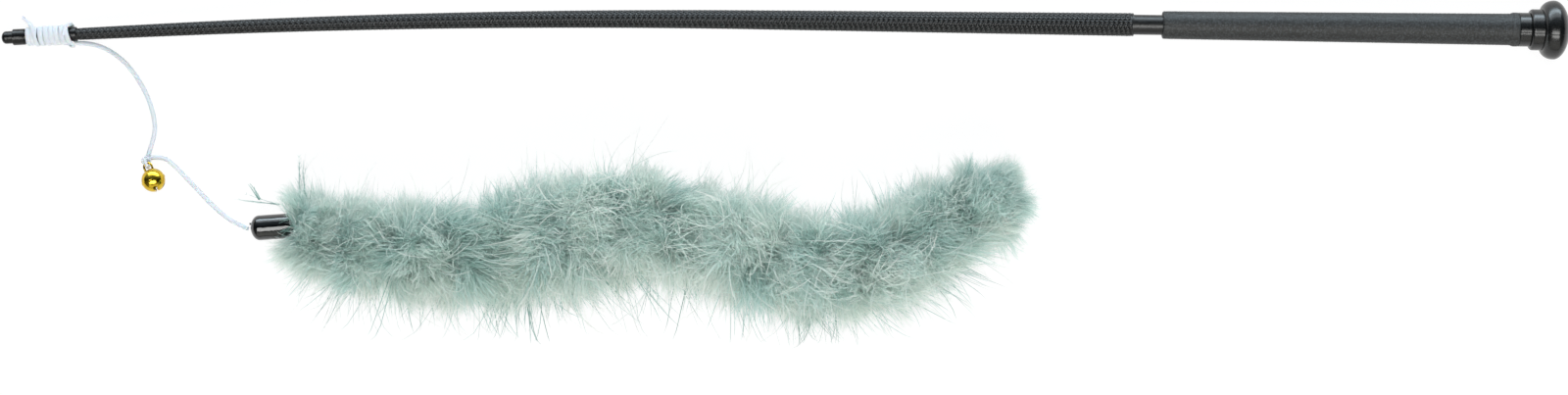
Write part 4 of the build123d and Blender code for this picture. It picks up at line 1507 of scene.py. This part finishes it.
    def _tufted(self, roots: NodeValue) -> NodeValue:
        """Set a tuft on each root, turned and grown.

        Args:
            roots: The shaded roots.

        Returns:
            The tufts, as one mesh.
        """
        recipe, lean = self.recipe, self._lean()
        way = self.out * lean.math("COSINE") + self.tangent * lean.math("SINE")
        aim = recipe.add("FunctionNodeAlignRotationToVector", {"Vector": way}, axis="Z")
        angle = self._chance(0.0, FULL_TURN, 25, shared=True) + self._chance(-self.roll, self.roll, 5)
        roll = recipe.add("FunctionNodeAxisAngleToRotation", {"Axis": (0.0, 0.0, 1.0), "Angle": angle})
        turned = {"Rotation": aim, "Rotate By": roll}
        turned = recipe.add("FunctionNodeRotateRotation", turned, rotation_space="LOCAL")
        grown = self._chance(recipe["Short"], recipe["Long"], 6)
        for span in self.trim_spans:
            grown = grown.math("MINIMUM", self._span(span))
        near_side, over_all = self.fullness
        fuller = self.radius * (self.facing * near_side + over_all)
        length = grown * (fuller * self._chance(*self.lock_length, 24, shared=True))
        picked = {4: 0, 5: self.variety - 1, 8: recipe["Seed"] + 7.0}
        picked = recipe.add("FunctionNodeRandomValue", picked, data_type="INT")
        tufts = {"Collection": recipe["Tufts"], "Separate Children": True, "Reset Children": True}
        set_out = recipe.add("GeometryNodeInstanceOnPoints", {
            "Points": roots, "Instance": recipe.add("GeometryNodeCollectionInfo", tufts),
            "Pick Instance": True, "Instance Index": picked[2], "Rotation": turned, "Scale": length,
        })
        return recipe.add("GeometryNodeRealizeInstances", {0: set_out})

    def _settled(self, tufts: NodeValue) -> NodeValue:
        """Let the down yield softly to the table, to its own weight and at its near edge.

        Args:
            tufts: The tufts, as one mesh.

        Returns:
            The settled mesh.
        """
        spot = self.recipe.add("ShaderNodeSeparateXYZ", {0: self.recipe.add("GeometryNodeInputPosition")})
        height = spot["Z"].ease(*self.table).ease(*self.ceiling)
        held = {0: spot["X"], 1: spot["Y"].ease(*self.near_edge), 2: height}
        held = self.recipe.add("ShaderNodeCombineXYZ", held)
        return self.recipe.add("GeometryNodeSetPosition", {"Geometry": tufts, "Position": held})

    def _mapped(self, down: NodeValue) -> NodeValue:
        """Give each barb its row of the map, by how pale it is.

        Args:
            down: The settled mesh.

        Returns:
            The mesh with its map.
        """
        recipe = self.recipe
        old = recipe.add("GeometryNodeInputNamedAttribute", {"Name": BAKE_MAP}, data_type="FLOAT_VECTOR")
        old = recipe.add("ShaderNodeSeparateXYZ", {0: old})
        pale = recipe.add("GeometryNodeInputNamedAttribute", {"Name": "pale"}, data_type="FLOAT")
        band = (pale.within(0.0, 0.999) * self.bands).math("FLOOR")
        place = recipe.add("ShaderNodeCombineXYZ", {0: old["X"], 1: (band + old["Y"]) / self.bands})
        stored = {"Geometry": down, "Name": BAKE_MAP, "Value": place}
        stored = recipe.add("GeometryNodeStoreNamedAttribute", stored, data_type="FLOAT2", domain="CORNER")
        return recipe.add("GeometryNodeRemoveAttribute", {"Geometry": stored, "Name": "pale"})


@dataclass
class Lure:
    """The cap, the knot and the string inside and the marabou boa."""

    nose: tuple = (1.2, 0.1)
    flatness: float = 0.68
    lift: float = 2.4
    route: tuple = (  # x and y from the cap, and half the boa's width
        (18.5, 0.2, 17.0), (35.9, -2.4, 19.2), (61.4, -8.2, 20.4), (84.6, -8.4, 20.4), (117.0, -3.6, 24.0),
        (149.3, 7.0, 24.6), (181.7, 3.4, 21.2), (206.4, -6.6, 24.0), (230.6, -11.0, 21.2),
        (254.4, -16.2, 23.8), (279.1, 2.2, 22.4), (300.0, 13.6, 19.4), (314.5, 20.2, 15.6),
    )
    variety: int = 9
    stray_seed: int = 13
    stray_width: float = 0.42
    stray_tilt: float = 84.0
    stray_row: int = 4  # the map's row that the strays are coloured by
    strays: tuple = (  # root, turn in plan and length
        (12.5, 10.4, 9.0, 171.0, 20.5), (4.0, 12.0, 9.0, 122.0, 9.0), (21.0, 12.0, 12.0, 84.0, 27.0),
        (24.0, 12.0, 12.0, 101.0, 20.0), (18.0, 4.6, 10.6, 196.0, 6.5), (18.4, 1.4, 11.2, 214.0, 7.5),
        (18.2, -1.2, 11.2, 172.0, 6.0), (17.6, -3.6, 10.6, 238.0, 8.0), (18.8, 3.0, 11.4, 268.0, 9.0),
        (118.0, -19.0, 9.0, 281.0, 16.0), (121.0, -20.0, 12.0, 288.0, 17.0),
        (124.0, -20.0, 9.0, 292.0, 18.0), (127.0, -20.0, 11.0, 296.0, 18.0),
        (130.0, -19.0, 9.0, 300.0, 18.0), (133.0, -18.0, 8.0, 306.0, 17.0),
    )

    def build(self) -> None:
        """Dress the cap and what it holds, and grow the down."""
        gloss = MouldedGloss("glossy_cap_vinyl", "#0B0D0E", 0.13, 1.5, coat=0.4, ripple_mm=2.2)
        dress(gloss.build(), "lure_cap")
        thread = WovenElastic("twisted_boa_thread", CordCoords.OBJECT, "#5F736D", "#A9BDB5").build()
        dress(thread, "boa_string", "stopper_knot")
        ahead, aside = self.nose
        string = [(x + ahead, y + aside, half * self.flatness + self.lift) for x, y, half in self.route]
        path = path_curve("boa_path", laid(string, "lure_swing"), [half * MM for _, _, half in self.route])
        tufts = {kind: self._prototypes(kind) for kind in TuftKind}
        down = MarabouDown().build()
        recipe = DownPlanting(self.variety).build()
        for layer in self._layers():
            piece = recipe.make(
                layer.name, Path=path, Tufts=tufts[layer.kind], Count=layer.count, Seed=layer.seed,
                From_Angle=math.radians(layer.angles[0]), To_Angle=math.radians(layer.angles[1]),
                Short=layer.lengths[0], Long=layer.lengths[1], Root_From=layer.roots[0],
                Root_To=layer.roots[1], Lean=layer.lean, Pale_From=layer.shades[0],
                Pale_To=layer.shades[1], Material=down,
            )
            declare(piece, "lure", "plume", *(["boa_plume"] if layer.name == "down_1" else []))
        declare(self._strays(down), "lure", "plume")
        for group in tufts.values():
            for item in list(group.objects):
                bpy.data.objects.remove(item)
            bpy.data.collections.remove(group)
        bpy.data.objects.remove(path)

    def _layers(self) -> list[DownLayer]:
        """List the layers of down, from the dense body to the loose wisps."""
        full, wisp, plume, thread, hair = TuftKind
        inner, mid, outer = (0.0, 0.12), (0.18, 0.36), (0.26, 0.42)
        layers = [
            DownLayer(f"down_{k + 1}", 1950, 100 + 17 * k, (-32, 208), (0.8, 1.02), 0.6, (0.06, 0.78))
            for k in range(4)
        ]
        layers += [
            DownLayer(f"down_plumes_{k + 1}", 1050, seed, (-15, 195), (0.82, 1.02), 0.75, (0.15, 1.0), plume)
            for k, seed in enumerate((200, 213))
        ]
        return layers + [
            # the core is shaded darker than the body as painted shade, for the dark pockets along the crest
            DownLayer("down_core", 1600, 251, (0, 360), (0.42, 0.78), 0.8, (0.12, 0.45), full, inner),
            DownLayer("down_crest", 1000, 271, (48, 132), (0.45, 0.75), 1.5, (0.15, 0.82), full, mid),
            DownLayer("down_top_fibres", 1800, 301, (20, 160), (0.7, 1.05), 0.9, (0.5, 1.0), wisp),
            DownLayer("down_low_hairs", 800, 401, (162, 214), (1.0, 2.1), 0.6, (0.02, 0.29), hair),
            DownLayer("down_high_hairs", 900, 501, (-32, 35), (0.95, 1.5), 0.7, (0.02, 0.29), hair),
            DownLayer("down_threads", 900, 601, (38, 155), (1.1, 1.75), 1.1, (0.95, 1.0), thread, outer),
        ]

    def _prototypes(self, kind: TuftKind) -> bpy.types.Collection:
        """Make a few tufts of one kind, of flat tapered barbs that grow along Z from the origin.

        Args:
            kind: The kind of tuft.

        Returns:
            The collection of tufts.
        """
        shape, seed = kind.value
        rng = np.random.default_rng(seed)
        group = bpy.data.collections.new(f"{kind.name.lower()}_shapes")
        for number in range(self.variety):
            name = f"{group.name}_{number}"
            group.objects.link(bpy.data.objects.new(name, mesh_from(name, *shape.grow(rng))))
        return group

    def _strays(self, down: bpy.types.Material) -> bpy.types.Object:
        """Grow the few loose barbs at the cap and in the near edge.

        Args:
            down: What they are made of.

        Returns:
            Their piece.
        """
        rng = np.random.default_rng(self.stray_seed)
        points, faces, places = [], [], []
        for x, y, z, turn, length in self.strays:
            shape = TuftShape(2, 2, 0.12, 0.3, 0.7, self.stray_width / length, 0.3, 5, 9, 0.16, 0.5)
            grown, corners, spots = shape.grow(rng)
            root = laid(((x + self.nose[0], y + self.nose[1], z),), "lure_swing")[0]
            pose = Matrix.Rotation(math.radians(turn), 3, "Z")
            pose = pose @ Matrix.Rotation(math.radians(self.stray_tilt), 3, "Y")
            faces += [tuple(len(points) + c for c in corner) for corner in corners]
            points += [root + pose @ (p * length * MM) for p in grown]
            places += [(u, (self.stray_row + v) / DownPlanting.bands) for u, v in spots]
        strays = new_piece("down_strays", mesh_from("down_strays", points, faces, places))
        strays.data.materials.append(down)
        return strays


def main() -> None:
    """Build the wand's sub-assemblies in order."""
    logging.basicConfig(level=logging.INFO, format="%(message)s")
    lay = RodLay()
    Studio().build()
    Handle(lay).build()
    Rod(lay).build()
    TipWinding(lay).build()
    knot = BellKnot().build()
    FreeCord().build(knot, Bell().build())
    Lure().build()


if __name__ == "__main__":
    main()
